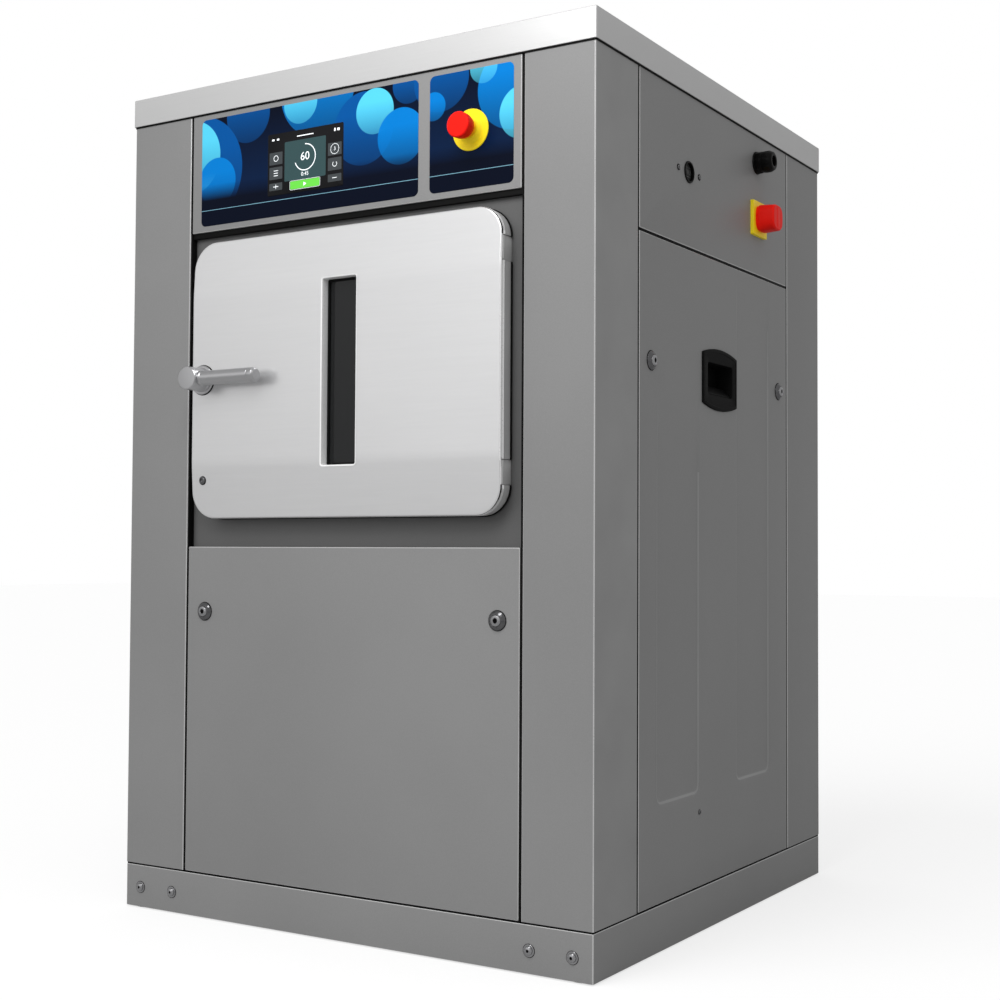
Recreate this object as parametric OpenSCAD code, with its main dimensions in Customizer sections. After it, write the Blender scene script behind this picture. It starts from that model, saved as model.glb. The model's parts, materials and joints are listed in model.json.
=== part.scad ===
// Barrier washer: a pass-through laundry machine with a loading door at the
// front and an unloading door at the rear. X runs right, Y runs back, Z runs up,
// and the origin is the centre of the base on the floor. Sizes are millimetres.

/* [Cabinet] */
// Width of the top cover, side to side
cover_w = 906; // [900:1:940]
// Depth of the top cover, front to back
cover_d = 900; // [896:1:940]
// Height of the cover's folded edge
cover_edge_h = 46.7; // [40:0.1:60]
// Sheet thickness of the cover
cover_t = 2; // [1.5:0.1:2.4]
// Distance from the cover's edge back to the posts and panels
body_inset = 2.6; // [2.5:0.1:4]
// Sheet thickness of the posts and panels
sheet_t = 2; // [1.5:0.1:2.5]
// Shadow gap between neighbouring panels
seam = 2.5; // [2:0.1:4]
// Depth of the folded edges on posts and panels
fold = 24; // [20:1:28]
// Width of the rails that join the posts under the cover
rail_w = 30; // [20:1:40]
// Height of the rails that join the posts under the cover
rail_h = 30; // [20:1:40]

/* [Plinth and base frame] */
// Height of the plinth's upper edge
skirt_h = 71.7; // [66:0.1:80]
// Sheet thickness of the plinth
skirt_t = 2.5; // [2:0.1:3]
// Gap between the plinth and the floor
skirt_lift = 2; // [1:0.5:6]
// Distance from the cover's edge back to the plinth
skirt_inset = 2.9; // [2.9:0.1:4]
// Shadow gap above the plinth
plinth_gap = 1.5; // [1:0.1:3]
// Width of the base frame's channels
beam_w = 50; // [44:1:60]
// Height of the base frame's channels
beam_h = 52; // [44:1:56]
// Wall of the base frame's channels
beam_t = 4; // [3:0.5:5]
// Diameter of each levelling foot's pad
foot_d = 44; // [36:1:46]
// Thickness of each levelling foot's pad
foot_pad_h = 8; // [6:1:10]
// Diameter of each levelling foot's threaded stem
foot_stem_d = 16; // [12:1:20]
// Diameter of the plinth bolts' washers
bolt_d = 21; // [18:1:24]
// Distance of the outer plinth bolts from the centre
bolt_x_outer = 417; // [400:1:420]
// Distance of the inner plinth bolts from the centre
bolt_x_inner = 346; // [330:1:360]
// Height of the plinth bolts
bolt_z = 35; // [30:1:40]

/* [Front and rear bays] */
// Gap between the doors and the posts, the mean of both sides
door_gap_side = 25.75; // [24:0.25:30]
// Gap between each door and the lower panel
door_gap_below = 46; // [40:0.5:56]
// Gap between each door and the control fascia
door_gap_above = 23.5; // [20:0.5:30]
// Shift of the bay to the right of the centre
bay_shift = 5.75; // [0:0.25:8]
// Height of the control fascia, up to the top of the cover
fascia_h = 246; // [238:1:260]
// Depth of the door recess behind the front
recess_depth = 11.5; // [9:0.5:14]
// Height of the lower panel's upper edge
lower_top_z = 609.5; // [600:0.5:620]
// Distance of the front locks below the lower panel's upper edge
front_lock_down = 106.5; // [90:0.5:130]
// Distance of the front locks from the bay's sides
front_lock_in = 41; // [38:1:50]

/* [Side panels] */
// Width of the front posts on the cabinet's sides
side_leg_front = 135.4; // [130:0.1:140]
// Width of the rear posts on the cabinet's sides
side_leg_rear = 161; // [155:1:166]
// Distance of the joint between the side panels below the top of the cover
side_split_down = 295; // [285:1:310]
// Distance of the side locks below the joint between the side panels
side_lock_down = 192; // [165:1:225]
// Distance of the side locks from the panel's edges
side_lock_in = 43; // [38:1:50]
// Place of the recessed grip along the depth
grip_y = -17; // [-30:1:0]
// Distance of the recessed grip's centre below the joint between the side panels
grip_down = 198; // [185:1:215]
// Width of the recessed grip's flange
grip_w = 136.8; // [130:0.1:144]
// Height of the recessed grip's flange at its middle
grip_h = 101.5; // [98:0.5:110]
// Radius of the flange's curved top and bottom edges
grip_bow_r = 248; // [200:1:300]
// Width of the grip's finger pocket
pocket_w = 98; // [90:1:104]
// Height of the grip's finger pocket
pocket_h = 52; // [46:1:56]
// Depth of the grip's finger pocket
pocket_depth = 30; // [26:1:34]
// Depth of the pressed fields on the lower side panels
press_depth = 1; // [0.5:0.1:1.5]
// Distance of the front pressed field from the panel's front edge
press_in_front = 64.5; // [60:0.5:85]
// Distance of the rear pressed field from the panel's rear edge
press_in_rear = 88; // [70:0.5:90]
// Height of the pressed fields' lower edge
press_z = 224; // [200:1:260]
// Distance of the front pressed field's upper edge below the joint
press_top_front = 249; // [200:1:300]
// Distance of the rear pressed field's upper edge below the joint
press_top_rear = 9; // [8:1:60]
// Distance from the grip's middle to the front pressed field
press_off_front = 79.5; // [75:0.5:90]
// Distance from the grip's middle to the rear pressed field
press_off_rear = 74; // [70:0.5:90]
// Radius of the pressed fields' corners
press_r = 14; // [10:1:50]

/* [Door] */
// Width of each door
door_w = 600; // [590:1:606]
// Height of each door
door_h = 455; // [448:1:462]
// Place of the doors and the drum to the right of the centre
door_x = 7; // [4:0.5:10]
// Radius of the doors' corners
door_corner_r = 45; // [40:1:50]
// Distance that the door's face stands proud of the posts
door_proud = 21.8; // [20:0.1:24]
// Gap between the door's back and the recess
door_gap = 1.8; // [1.5:0.1:2.5]
// Height of the door's flat middle band
door_band_h = 277; // [260:1:290]
// Distance that the door's top and bottom edges lean back
door_lean = 5; // [3:0.1:6]
// Thickness of the door's skin
skin_t = 1.5; // [1.2:0.1:1.8]
// Width of the window slot
window_w = 69; // [60:1:76]
// Height of the window slot
window_h = 295.5; // [280:0.5:305]
// Shift of the window slot to the right of the door's centre
window_shift = 4.5; // [0:0.5:8]
// Distance of the glass behind the door's face
glass_back = 16.6; // [14:0.1:18]
// Thickness of the glass
glass_t = 4; // [3:0.5:5]
// Radius of the window slot's corners
window_r = 5; // [4:0.5:8]
// Distance of the hinges above and below the door's centre
hinge_dz = 164; // [150:1:168]
// Distance of the hinge pin from the door's side
hinge_in = 7; // [7:0.1:7.4]
// Distance of the hinge pin behind the door's face
hinge_back = 11; // [10.6:0.1:11.4]
// Height of each hinge block
hinge_h = 32; // [28:1:36]
// Thickness of each hinge block
hinge_t = 10; // [9:0.5:10]
// Diameter of the hinge pins
hinge_pin_d = 8; // [6:0.5:8]

/* [Door handle] */
// Distance of the handle's axis from the door's side
handle_in = 24.5; // [24.2:0.1:32]
// Diameter of the handle's base ring
handle_ring_d = 48; // [44:1:48]
// Thickness of the handle's base ring
handle_ring_t = 4; // [3:0.5:6]
// Diameter of the handle's boss
handle_boss_d = 38; // [34:1:40]
// Distance that the boss stands out from the door
handle_boss_h = 39.8; // [38:0.1:44]
// Diameter of the handle's lever
lever_d = 23.5; // [20:0.5:26]
// Length of the lever from the handle's axis
lever_len = 134; // [110:1:150]
// Distance of the lever's axis from the door's face
lever_out = 23; // [21:0.5:25]
// Diameter of the shaft through the door
latch_shaft_d = 14; // [12:1:16]
// Length of the latch cam inside the door
latch_len = 26; // [24:1:30]

/* [Controls] */
// Width of the touch screen's glass
screen_w = 154; // [150:0.5:160]
// Height of the touch screen's glass
screen_h = 100.7; // [96:0.1:106]
// Shift of the screen to the right of its film's centre
screen_shift = 0.4; // [-4:0.1:4]
// Distance of the screen's centre below its film's centre
screen_down = 5.3; // [0:0.1:10]
// Distance that the screen's glass stands proud of the fascia
screen_proud = 0.9; // [0.6:0.1:1.2]
// Depth of the screen's housing behind the fascia
screen_depth = 34; // [28:1:40]
// Thickness of the graphic film
film_t = 0.5; // [0.4:0.1:0.6]
// Width of the film around the stop button
film_b_w = 149; // [146:1:152]
// Distance of the screen's film from the bay's left side
film_in_left = 23.5; // [18:0.5:28]
// Distance of the stop button's film from the bay's right side
film_in_right = 17; // [14:0.5:24]
// Gap between the two films
film_gap = 21; // [16:1:26]
// Height of the graphic films
film_h = 179; // [174:1:182]
// Height of the graphic films' centre above the fascia's lower edge
film_up = 99; // [97:0.5:102]
// Corner radius of the graphic films
film_r = 9; // [6:0.5:12]
// Distance of the stop button's axis below its film's centre
stop_down = 2; // [0:0.5:8]
// Diameter of the stop button's yellow disc
stop_disc_d = 63; // [58:1:68]
// Diameter of the stop button's head
stop_head_d = 39; // [36:0.5:42]
// Distance that the stop button's face stands out
stop_out = 38; // [34:1:42]
// Travel of the stop button
stop_travel = 5; // [3:0.5:6]
// Place of the isolator switch along the depth
isolator_y = 147; // [140:1:155]
// Distance of the isolator switch below the top of the cover
isolator_down = 195; // [185:1:205]
// Width of the isolator's yellow plate
isolator_plate = 60; // [56:1:66]
// Thickness of the isolator's yellow plate
isolator_plate_t = 6; // [4:0.5:8]
// Diameter of the isolator's knob at its base
knob_d = 47; // [42:1:50]
// Diameter of the isolator's knob at its face
knob_face_d = 42.5; // [38:0.5:44]
// Length of the isolator's knob
knob_len = 33; // [28:1:38]
// Place of the cable gland along the depth
gland_y = 144; // [136:1:152]
// Distance of the cable gland below the top of the cover
gland_down = 96; // [88:1:110]
// Diameter of the cable gland
gland_d = 36; // [32:1:38]
// Length of the cable gland outside the panel
gland_len = 33; // [30:1:40]
// Diameter of the cable gland's bore
gland_bore_d = 18; // [14:1:20]
// Place of the service socket along the depth
socket_y = -135; // [-145:1:-125]
// Distance of the service socket below the top of the cover
socket_down = 172; // [164:1:180]
// Diameter of the service socket
socket_d = 35; // [30:1:38]
// Distance of the socket's screws from its centre
socket_screw_dy = 39; // [34:1:44]

/* [Drum and tub] */
// Radius of the drum
drum_r = 325; // [318:1:328]
// Length of the drum
drum_len = 520; // [510:1:524]
// Sheet thickness of the drum
drum_t = 2; // [1.5:0.5:3]
// Thickness of the drum's end discs
drum_end_t = 5; // [4:1:8]
// Gap between the drum and the tub's wall
tub_gap = 28; // [26:1:30]
// Gap between the drum and the tub's ends
tub_end_gap = 14; // [12:1:18]
// Sheet thickness of the tub
tub_t = 3; // [2:0.5:4]
// Thickness of the tub's end plates
tub_end_t = 5; // [4:1:8]
// Distance that the tub's end plates stand out beyond the tub
tub_rim = 6; // [4:1:8]
// Width of the opening in the drum
hatch_w = 424; // [400:1:430]
// Half angle of the opening in the drum
hatch_half_deg = 24.5; // [23:0.1:25]
// Gap around each hatch leaf
leaf_gap = 2; // [1.5:0.1:3]
// Height of the three lifters inside the drum
lifter_h = 70; // [50:1:80]
// Width of the lifters' feet
lifter_w = 80; // [60:1:90]
// Width of the tub's necks
neck_w = 440; // [436:1:446]
// Height of the tub's necks
neck_h = 300; // [290:1:304]
// Width of the flange on each neck
neck_flange = 26; // [20:1:28]
// Gap between each recess and the flange of its neck
neck_gap = 30.9; // [28:0.1:36]
// Width of the opening in each recess
port_w = 484; // [480:1:490]
// Height of the opening in each recess
port_h = 344; // [340:1:350]
// Radius of the openings' corners
port_r = 40; // [34:1:46]

/* [Drive] */
// Diameter of the drum's shaft
shaft_d = 50; // [44:1:56]
// Outer diameter of the drum's bearings
bearing_d = 90; // [84:1:96]
// Length of the drum's bearings
bearing_len = 40; // [34:1:46]
// Diameter of the bearing housings
housing_d = 130; // [120:1:136]
// Length of the bearing housings
housing_len = 55; // [50:1:58]
// Diameter of the drum's pulley
pulley_d = 380; // [340:2:400]
// Width of the pulleys
pulley_w = 30; // [26:1:34]
// Diameter of the motor's pulley
motor_pulley_d = 80; // [70:2:90]
// Thickness of the drive belt
belt_t = 5; // [4:0.5:6]
// Width of the drive belt
belt_w = 24; // [20:1:26]
// Place of the motor along the depth
motor_y = 150; // [140:1:155]
// Distance of the motor's axis below the drum's axis
motor_drop = 453; // [447:1:463]
// Diameter of the motor
motor_d = 176; // [160:2:180]
// Length of the motor
motor_len = 250; // [220:1:256]
// Diameter of the motor's shaft
motor_shaft_d = 28; // [24:1:32]

/* [Suspension] */
// Outer diameter of the suspension springs
spring_d = 76; // [70:1:80]
// Bore of the suspension springs
spring_bore = 56; // [50:1:60]
// Distance of the springs from the middle, front and back
spring_y = 210; // [205:1:215]
// Distance of the springs outside the tub's end plates
spring_out = 50; // [46:1:54]
// Distance of the tub's feet below the drum's axis
tub_foot_drop = 565; // [557:1:569]
// Travel of the suspension, up and down
bounce = 12; // [8:1:12]
// Distance of the dampers in front of the middle
damper_y = -70; // [-80:1:-60]
// Diameter of the dampers' cylinders
damper_d = 38; // [34:1:42]
// Diameter of the dampers' rods
damper_rod_d = 14; // [12:1:16]

/* [Water and electrics] */
// Diameter of the drain pipe
drain_d = 75; // [70:1:80]
// Height of the drain pipe
drain_z = 240; // [220:1:250]
// Place of the drain pipe along the depth
drain_y = 60; // [50:1:66]
// Place of the drain spigot, to the right of the centre
drain_x = 120; // [110:1:140]
// Distance that the pipes stand out of the left side
pipe_out = 41; // [30:1:50]
// Height of the water inlets above the tub
inlet_lift = 61; // [57:1:65]
// Distance of the water inlets from the middle
inlet_dy = 60; // [50:1:80]
// Outer diameter of the water inlets' threads
inlet_d = 26.4; // [20:0.1:33]
// Diameter of the heating rods
heater_d = 10; // [8:0.5:12]
// Gap between the tub's end and the control box
box_clear = 14.4; // [12:0.1:30]
// Length of the control box along the cabinet's side
box_len = 320; // [280:1:330]
// Height of the control box
box_h = 210; // [180:1:220]

/* [Hidden] */
$fn = 64;

// Small clearances: between fixed pieces, between moving ones, and an overcut
fit = 0.2;
run = 0.3;
bearing_fit = 0.05;
over = 1;

// Heights of the cabinet, stacked up from the lower panel
height = lower_top_z + door_gap_below + door_h + door_gap_above + fascia_h;
fascia_z = height - fascia_h;
door_z = lower_top_z + door_gap_below + door_h / 2;
front_lock_z = lower_top_z - front_lock_down;
side_split_z = height - side_split_down;
side_lock_z = side_split_z - side_lock_down;
grip_z = side_split_z - grip_down;

// Cabinet
bx = cover_w / 2 - body_inset;
by = cover_d / 2 - body_inset;
base_x = cover_w / 2 - skirt_inset - skirt_t;
base_y = cover_d / 2 - skirt_inset - skirt_t;
base_z = skirt_h + plinth_gap;
under_cover = height - cover_t - fit;
bay_w = door_w + 2 * door_gap_side;
bay_l = bay_shift - bay_w / 2;
bay_r = bay_shift + bay_w / 2;
side_f = side_leg_front - by;
side_r = by - side_leg_rear;
recess_y = recess_depth - by;
rail_x = bx - fold - fit;
rail_y = by - fold - fit;
foot_in = beam_w / 2;
foot_nut_h = 8;
foot_nut_d = 30;
grip_wall = 2.5;
grip_flange_t = 3;
press_lip = 1;

// Locks: the tongue lies just behind the folded edges
lock_ring_d = 31;
lock_ring_t = 3;
lock_core_d = 18;
lock_core_out = 8;
lock_key = 8;
lock_key_depth = 5;
lock_shaft_d = 14;
lock_tongue_w = 14;
lock_tongue_t = 3;
lock_tongue_gap = 2;
lock_tongue_catch = 12;
lock_depth = fold + lock_tongue_gap;

// Fasteners
bolt_washer_t = 1.5;
bolt_head_d = 17;
bolt_head_h = 4;
bolt_shank_d = 10;
hex_d = 7;
hex_depth = 3;
screw_d = 8;
screw_h = 2;
rear_screw_d = 14;

// Doors
door_front = -by - door_proud;
door_back = recess_y - door_gap;
door_thick = door_back - door_front;
pan_t = 1.2;
sleeve_t = 1.5;
hinge_x = door_x + door_w / 2 - hinge_in;
hinge_y = door_front + hinge_back;
notch_h = hinge_h + 6;
lug_h = 12;
lug_w = 16;
lean_at_hinge = door_lean * (hinge_dz + notch_h / 2 - door_band_h / 2) * 2 / (door_h - door_band_h);
handle_x = door_x - door_w / 2 + handle_in;
latch_t = 5;
tube_wall = 3;
tube_len = 18;
lever_end_chamfer = 2.5;
door_screw_d = 13;
door_screw_h = 3;
door_screw_dz = 165;

// Controls
film_z = fascia_z + film_up;
film_a_w = bay_w - film_in_left - film_in_right - film_gap - film_b_w;
film_a_x = bay_l + film_in_left + film_a_w / 2;
film_b_x = bay_r - film_in_right - film_b_w / 2;
screen_x = film_a_x + screen_shift;
screen_z = film_z - screen_down;
stop_x = film_b_x;
stop_z = film_z - stop_down;
stop_head_taper = 4;
isolator_z = height - isolator_down;
gland_z = height - gland_down;
socket_z = height - socket_down;
screen_hole_in = 4;
stop_disc_t = 1.6;
stop_barrel_d = 22;
stop_bore_d = 18.6;
stop_neck_d = 18;
stop_collar_d = 30;
stop_collar_h = 10;
stop_head_h = 21;
stop_bore_depth = 22;
stop_block = 40;
stop_block_len = 36;
isolator_barrel_d = 30;
isolator_body = 48;
isolator_body_len = 40;
isolator_shaft_d = 10;
isolator_shaft_len = 20;
gland_flange_d = 40;
gland_flange_t = 5;
gland_thread_d = 25;
gland_tail = 12;
gland_nut_t = 6;
socket_proud = 2.5;
socket_body = 28;
socket_bore_d = 25;
socket_bore_depth = 20;

// Drum, tub and necks
tub_ri = drum_r + tub_gap;
tub_ro = tub_ri + tub_t;
tub_l = door_x - drum_len / 2 - tub_end_gap;
tub_rt = door_x + drum_len / 2 + tub_end_gap;
drum_l = door_x - drum_len / 2;
drum_rt = door_x + drum_len / 2;
neck_out = -recess_y - neck_gap;
neck_r = 24;
neck_t = 3;
leaf_axis_r = drum_r - drum_t - 7;
leaf_axis_deg = hatch_half_deg + 1.5;
leaf_root_deg = hatch_half_deg - 1.3;
leaf_web_deg = leaf_root_deg - 0.3;
leaf_web_width_deg = 1.2;
leaf_web_t = 2;
leaf_web_in = 1;
leaf_pin_d = 8;
leaf_barrel_d = 10;
ear_w = 6;
ear_size = 20;
leaf_mid_deg = leaf_gap / drum_r * 180 / PI / 2;
hub_d = 150;
hub_t = 8;
lifter_wall = 3;
lifter_tip_w = 26;
lifter_deg = [90, 180, 270];
bellows_wall = 16;
bellows_lip = 0.4;
bellows_back = 2.5;
bellows_flange = 12;
bellows_foot = 10;

// Drive and suspension
motor_z = door_z - motor_drop;
tub_foot_z = door_z - tub_foot_drop;
pulley_x1 = tub_l - tub_end_t - housing_len - 10;
pulley_x0 = pulley_x1 - pulley_w;
rim_t = 16;
web_t = 10;
pulley_hub_d = 100;
pulley_hole_d = 70;
pulley_hole_r = 105;
pulley_holes = 5;
belt_lift = 0.4;
belt_fn = 96;
motor_flange = 200;
motor_flange_t = 12;
motor_flange_r = 20;
motor_hole_d = motor_shaft_d + 30;
motor_fin_h = 6;
motor_fins = 24;
motor_fin_t = 3;
motor_bore_len = 60;
motor_box = [90, 60, 30];
spring_lx = tub_l - tub_end_t - spring_out;
spring_rx = tub_rt + tub_end_t + spring_out;
spring_cup_d = 50;
spring_cup_h = 14;
tub_foot_t = 8;
tub_foot_len = 95;
tub_foot_w = 90;
gusset_t = 6;
gusset_h = 80;
rib_h = 10;
rib_t = 5;
tub_ribs = 8;
damper_drop = 58;
damper_top = tub_foot_z - damper_drop;
damper_bore = 60;
damper_bore_z = damper_top - damper_bore - 2 * bounce;
damper_reach = 45;
damper_rod_z = damper_top - damper_reach;
damper_lug_up = 82;
damper_lug_z = tub_foot_z + damper_lug_up;
damper_lug_t = 16;

// Water and electrics
sump_w = 120;
sump_depth = 30;
sump_z = tub_ro + sump_depth;
spigot_d = 60;
spigot_len = 60;
boot_d = 84;
boot_bore = 68;
boot_grip = 33;
valve_d = 100;
valve_h = 110;
boot_h = door_z - sump_z - spigot_len + boot_grip - drain_z - valve_h;
valve_actuator = [80, 60, 60];
nipple_x = -120;
nipple_d = 24;
inlet_z = door_z + tub_ro + inlet_lift;
nipple_gap = 28;
nipple_top = inlet_z - nipple_gap;
sleeve_d = 40;
sleeve_bore = 30;
sleeve_len = 42;
sleeve_z = inlet_z - sleeve_len;
sleeve_roof = 10;
sleeve_bore_top = inlet_z - sleeve_roof;
feed_d = 28;
valve_len = 90;
valve_body_d = 40;
inlet_collar_d = 38;
drain_collar_d = 90;
collar_t = 5;
manifold_in = 70;
heater_r = drum_r + tub_gap / 2;
heater_deg = [-106, -90, -74];
heater_pitch = 15;
heater_len = 470;
heater_head_d = 44;
heater_head_len = 22;
heater_hole_d = 26;
heater_bend_d = 7.5;
box_gap = 38;
box_standoff_d = 16;
box_y1 = 85;
box_down = 44;
box_z1 = height - box_down;
box_lid_t = 3;
box_lid_rim = 4;
box_standoff_in = 25;
box_x0 = tub_rt + tub_end_t + rib_h + box_clear;

// Flat rectangle with round corners, centred
module round_rect(w, h, r) {
    square([w - 2 * r, h], center = true);
    square([w, h - 2 * r], center = true);
    for (sx = [-1, 1], sy = [-1, 1])
        translate([sx * (w / 2 - r), sy * (h / 2 - r)]) circle(r);
}

// Rectangular ring with round corners, measured at its bore
module rect_ring(w, h, r, wall) {
    difference() {
        round_rect(w + 2 * wall, h + 2 * wall, r + wall);
        round_rect(w, h, r);
    }
}

// Flat shape in X and Z, thickened along Y from y0 to y1
module plate_y(y0, y1) {
    translate([0, y1, 0]) rotate([90, 0, 0]) linear_extrude(y1 - y0) children();
}

// Flat shape in Y and Z, thickened along X from x0 to x1
module plate_x(x0, x1) {
    translate([x0, 0, 0]) rotate([90, 0, 90]) linear_extrude(x1 - x0) children();
}

// Round bars along each axis, from the first to the second place
module rod_x(x0, x1, d) {
    translate([x0, 0, 0]) rotate([0, 90, 0]) cylinder(h = x1 - x0, d = d);
}

module rod_y(y0, y1, d, d2 = -1) {
    translate([0, y0, 0]) rotate([-90, 0, 0])
        cylinder(h = y1 - y0, d1 = d, d2 = d2 < 0 ? d : d2);
}

module rod_z(z0, z1, d) {
    translate([0, 0, z0]) cylinder(h = z1 - z0, d = d);
}

// Box between two corners
module block(a, b) {
    translate(a) cube(b - a);
}

// Places on the door's axis, on both faces, both sides and at the drum
module at_door() {
    translate([door_x, 0, door_z]) children();
}

module both_faces() {
    for (m = [0, 1]) mirror([0, m, 0]) children();
}

module left_side() {
    mirror([1, 0, 0]) children();
}

module at_drum() {
    translate([0, 0, door_z]) children();
}

// Corner post: an L of sheet with both free edges folded inwards
module post(sx, sy, leg_x, leg_y) {
    mirror([sx < 0 ? 1 : 0, 0, 0]) mirror([0, sy < 0 ? 1 : 0, 0])
        translate([0, 0, base_z + fit]) linear_extrude(under_cover - base_z - fit)
            polygon([[bx - leg_x, by], [bx, by], [bx, by - leg_y],
                [bx - fold, by - leg_y], [bx - fold, by - leg_y + sheet_t],
                [bx - sheet_t, by - leg_y + sheet_t], [bx - sheet_t, by - sheet_t],
                [bx - leg_x + sheet_t, by - sheet_t], [bx - leg_x + sheet_t, by - fold],
                [bx - leg_x, by - fold]]);
}

// Tray-shaped panel in the front bay: a face with its edges folded back
module bay_tray(z0, z1, depth) {
    difference() {
        block([bay_l + seam, -by, z0], [bay_r - seam, depth - by, z1]);
        block([bay_l + seam + sheet_t, sheet_t - by, z0 + sheet_t],
            [bay_r - seam - sheet_t, depth - by + over, z1 - sheet_t]);
    }
}

// Tray-shaped panel on the right side
module side_tray(z0, z1) {
    difference() {
        block([bx - fold, side_f + seam, z0], [bx, side_r - seam, z1]);
        block([bx - fold - over, side_f + seam + sheet_t, z0 + sheet_t],
            [bx - sheet_t, side_r - seam - sheet_t, z1 - sheet_t]);
    }
}

// Lock core on the front face at the origin: its tongue points along +X
module lock_core(reach) {
    difference() {
        rod_y(-lock_core_out, sheet_t, lock_core_d);
        block([-lock_key / 2, -lock_core_out - over, -lock_key / 2],
            [lock_key / 2, lock_key_depth - lock_core_out, lock_key / 2]);
    }
    rod_y(sheet_t, lock_depth + lock_tongue_t, lock_shaft_d);
    block([-lock_tongue_w / 2, lock_depth, -lock_tongue_w / 2],
        [reach, lock_depth + lock_tongue_t, lock_tongue_w / 2]);
}

module front_lock_at(side) {
    x = side > 0 ? bay_r - front_lock_in : bay_l + front_lock_in;
    translate([x, -by, front_lock_z]) children();
}

// Lock places on the right side panel; side is -1 at the front edge
module side_lock_at(side) {
    y = side < 0 ? side_f + side_lock_in : side_r - side_lock_in;
    translate([bx, y, side_lock_z]) rotate([0, 0, 90]) children();
}

front_lock_reach = front_lock_in + lock_tongue_catch;
side_lock_reach = side_lock_in + lock_tongue_catch;

module lock_ring() {
    difference() {
        rod_y(-lock_ring_t, 0, lock_ring_d);
        rod_y(-lock_ring_t - over, over, lock_core_d + 2 * run);
    }
}

module lock_hole() {
    rod_y(-over, sheet_t + over, lock_core_d + 2 * run);
}

// Button-head bolt with a washer, standing on a face that looks to -Y
module bolt(shank) {
    difference() {
        union() {
            rod_y(-bolt_washer_t, 0, bolt_d);
            rod_y(-bolt_washer_t - bolt_head_h, 0, bolt_head_d);
            rod_y(0, shank, bolt_shank_d);
        }
        translate([0, -bolt_washer_t - bolt_head_h - over, 0]) rotate([-90, 0, 0])
            cylinder(h = hex_depth + over, d = hex_d, $fn = 6);
    }
}

module screw_head(d, h) {
    rod_y(-h, 0, d);
}

module at_plinth_bolts() {
    for (x = [-bolt_x_outer, -bolt_x_inner, bolt_x_inner, bolt_x_outer])
        translate([x, skirt_inset - cover_d / 2, bolt_z]) children();
}

module at_rear_screws() {
    for (x = [bay_l + front_lock_in, bay_r - front_lock_in],
         z = [base_z + front_lock_in, lower_top_z - front_lock_in])
        translate([x, -by, z]) children();
}

// Cabinet pieces
module channel(a, b) {
    difference() {
        block(a, b);
        block(a + [beam_t, beam_t, -over], b - [beam_t, beam_t, beam_t]);
    }
}

module base_frame() color("dimgray") difference() {
    union() {
        difference() {
            block([-base_x, -base_y, base_z - beam_h], [base_x, base_y, base_z]);
            block([beam_w - base_x, beam_w - base_y, 0],
                [base_x - beam_w, base_y - beam_w, height]);
            difference() {
                block([beam_t - base_x, beam_t - base_y, 0],
                    [base_x - beam_t, base_y - beam_t, base_z - beam_t]);
                block([beam_w - beam_t - base_x, beam_w - beam_t - base_y, -over],
                    [base_x - beam_w + beam_t, base_y - beam_w + beam_t, height]);
            }
        }
        for (x = [spring_lx, spring_rx]) {
            channel([x - beam_w / 2, beam_w - beam_t - base_y, base_z - beam_h],
                [x + beam_w / 2, base_y - beam_w + beam_t, base_z]);
            for (y = [-spring_y, spring_y])
                translate([x, y, 0]) rod_z(base_z - beam_t, base_z + spring_cup_h, spring_cup_d);
        }
    }
    both_faces() at_plinth_bolts() rod_y(-over, beam_w, bolt_shank_d + 2 * fit);
    for (sx = [-1, 1], sy = [-1, 1])
        translate([sx * (base_x - foot_in), sy * (base_y - foot_in), 0])
            rod_z(base_z - beam_t - over, base_z + over, foot_stem_d + 2 * fit);
}

module skirt() color("dimgray") difference() {
    block([-base_x - skirt_t, -base_y - skirt_t, skirt_lift],
        [base_x + skirt_t, base_y + skirt_t, skirt_h]);
    block([-base_x, -base_y, -over], [base_x, base_y, skirt_h + over]);
    both_faces() at_plinth_bolts() rod_y(-over, skirt_t + over, bolt_shank_d + 2 * fit);
}

module levelling_feet() color("gray") for (sx = [-1, 1], sy = [-1, 1])
    translate([sx * (base_x - foot_in), sy * (base_y - foot_in), 0]) {
        rod_z(0, foot_pad_h, foot_d);
        rod_z(0, base_z, foot_stem_d);
        translate([0, 0, base_z - beam_t - foot_nut_h - fit])
            cylinder(h = foot_nut_h, d = foot_nut_d, $fn = 6);
    }

module top_rails() color("gray") difference() {
    block([-rail_x, -rail_y, under_cover - rail_h], [rail_x, rail_y, under_cover]);
    block([rail_w - rail_x, rail_w - rail_y, 0], [rail_x - rail_w, rail_y - rail_w, height]);
}

module post_front_left() color("darkgray") post(-1, -1, bx + bay_l, side_leg_front);
module post_front_right() color("darkgray") post(1, -1, bx - bay_r, side_leg_front);
module post_rear_left() color("darkgray") post(-1, 1, bx + bay_l, side_leg_rear);
module post_rear_right() color("darkgray") post(1, 1, bx - bay_r, side_leg_rear);

module top_cover() color("gainsboro") difference() {
    block([-cover_w / 2, -cover_d / 2, height - cover_edge_h], [cover_w / 2, cover_d / 2, height]);
    block([cover_t - cover_w / 2, cover_t - cover_d / 2, height - cover_edge_h - over],
        [cover_w / 2 - cover_t, cover_d / 2 - cover_t, height - cover_t]);
}

// Fascia, recess and lower panel of the front; the rear repeats them
module fascia(screen) {
    difference() {
        bay_tray(fascia_z, under_cover, recess_depth);
        if (screen) translate([screen_x, 0, screen_z]) plate_y(-by - over, sheet_t - by + over)
            square([screen_w - 2 * screen_hole_in, screen_h - 2 * screen_hole_in], center = true);
        translate([stop_x, 0, stop_z]) rod_y(-by - over, sheet_t - by + over, stop_barrel_d + 2 * fit);
    }
}

module front_fascia() color("darkgray") fascia(true);
module rear_fascia() color("darkgray") mirror([0, 1, 0]) fascia(false);

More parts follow.
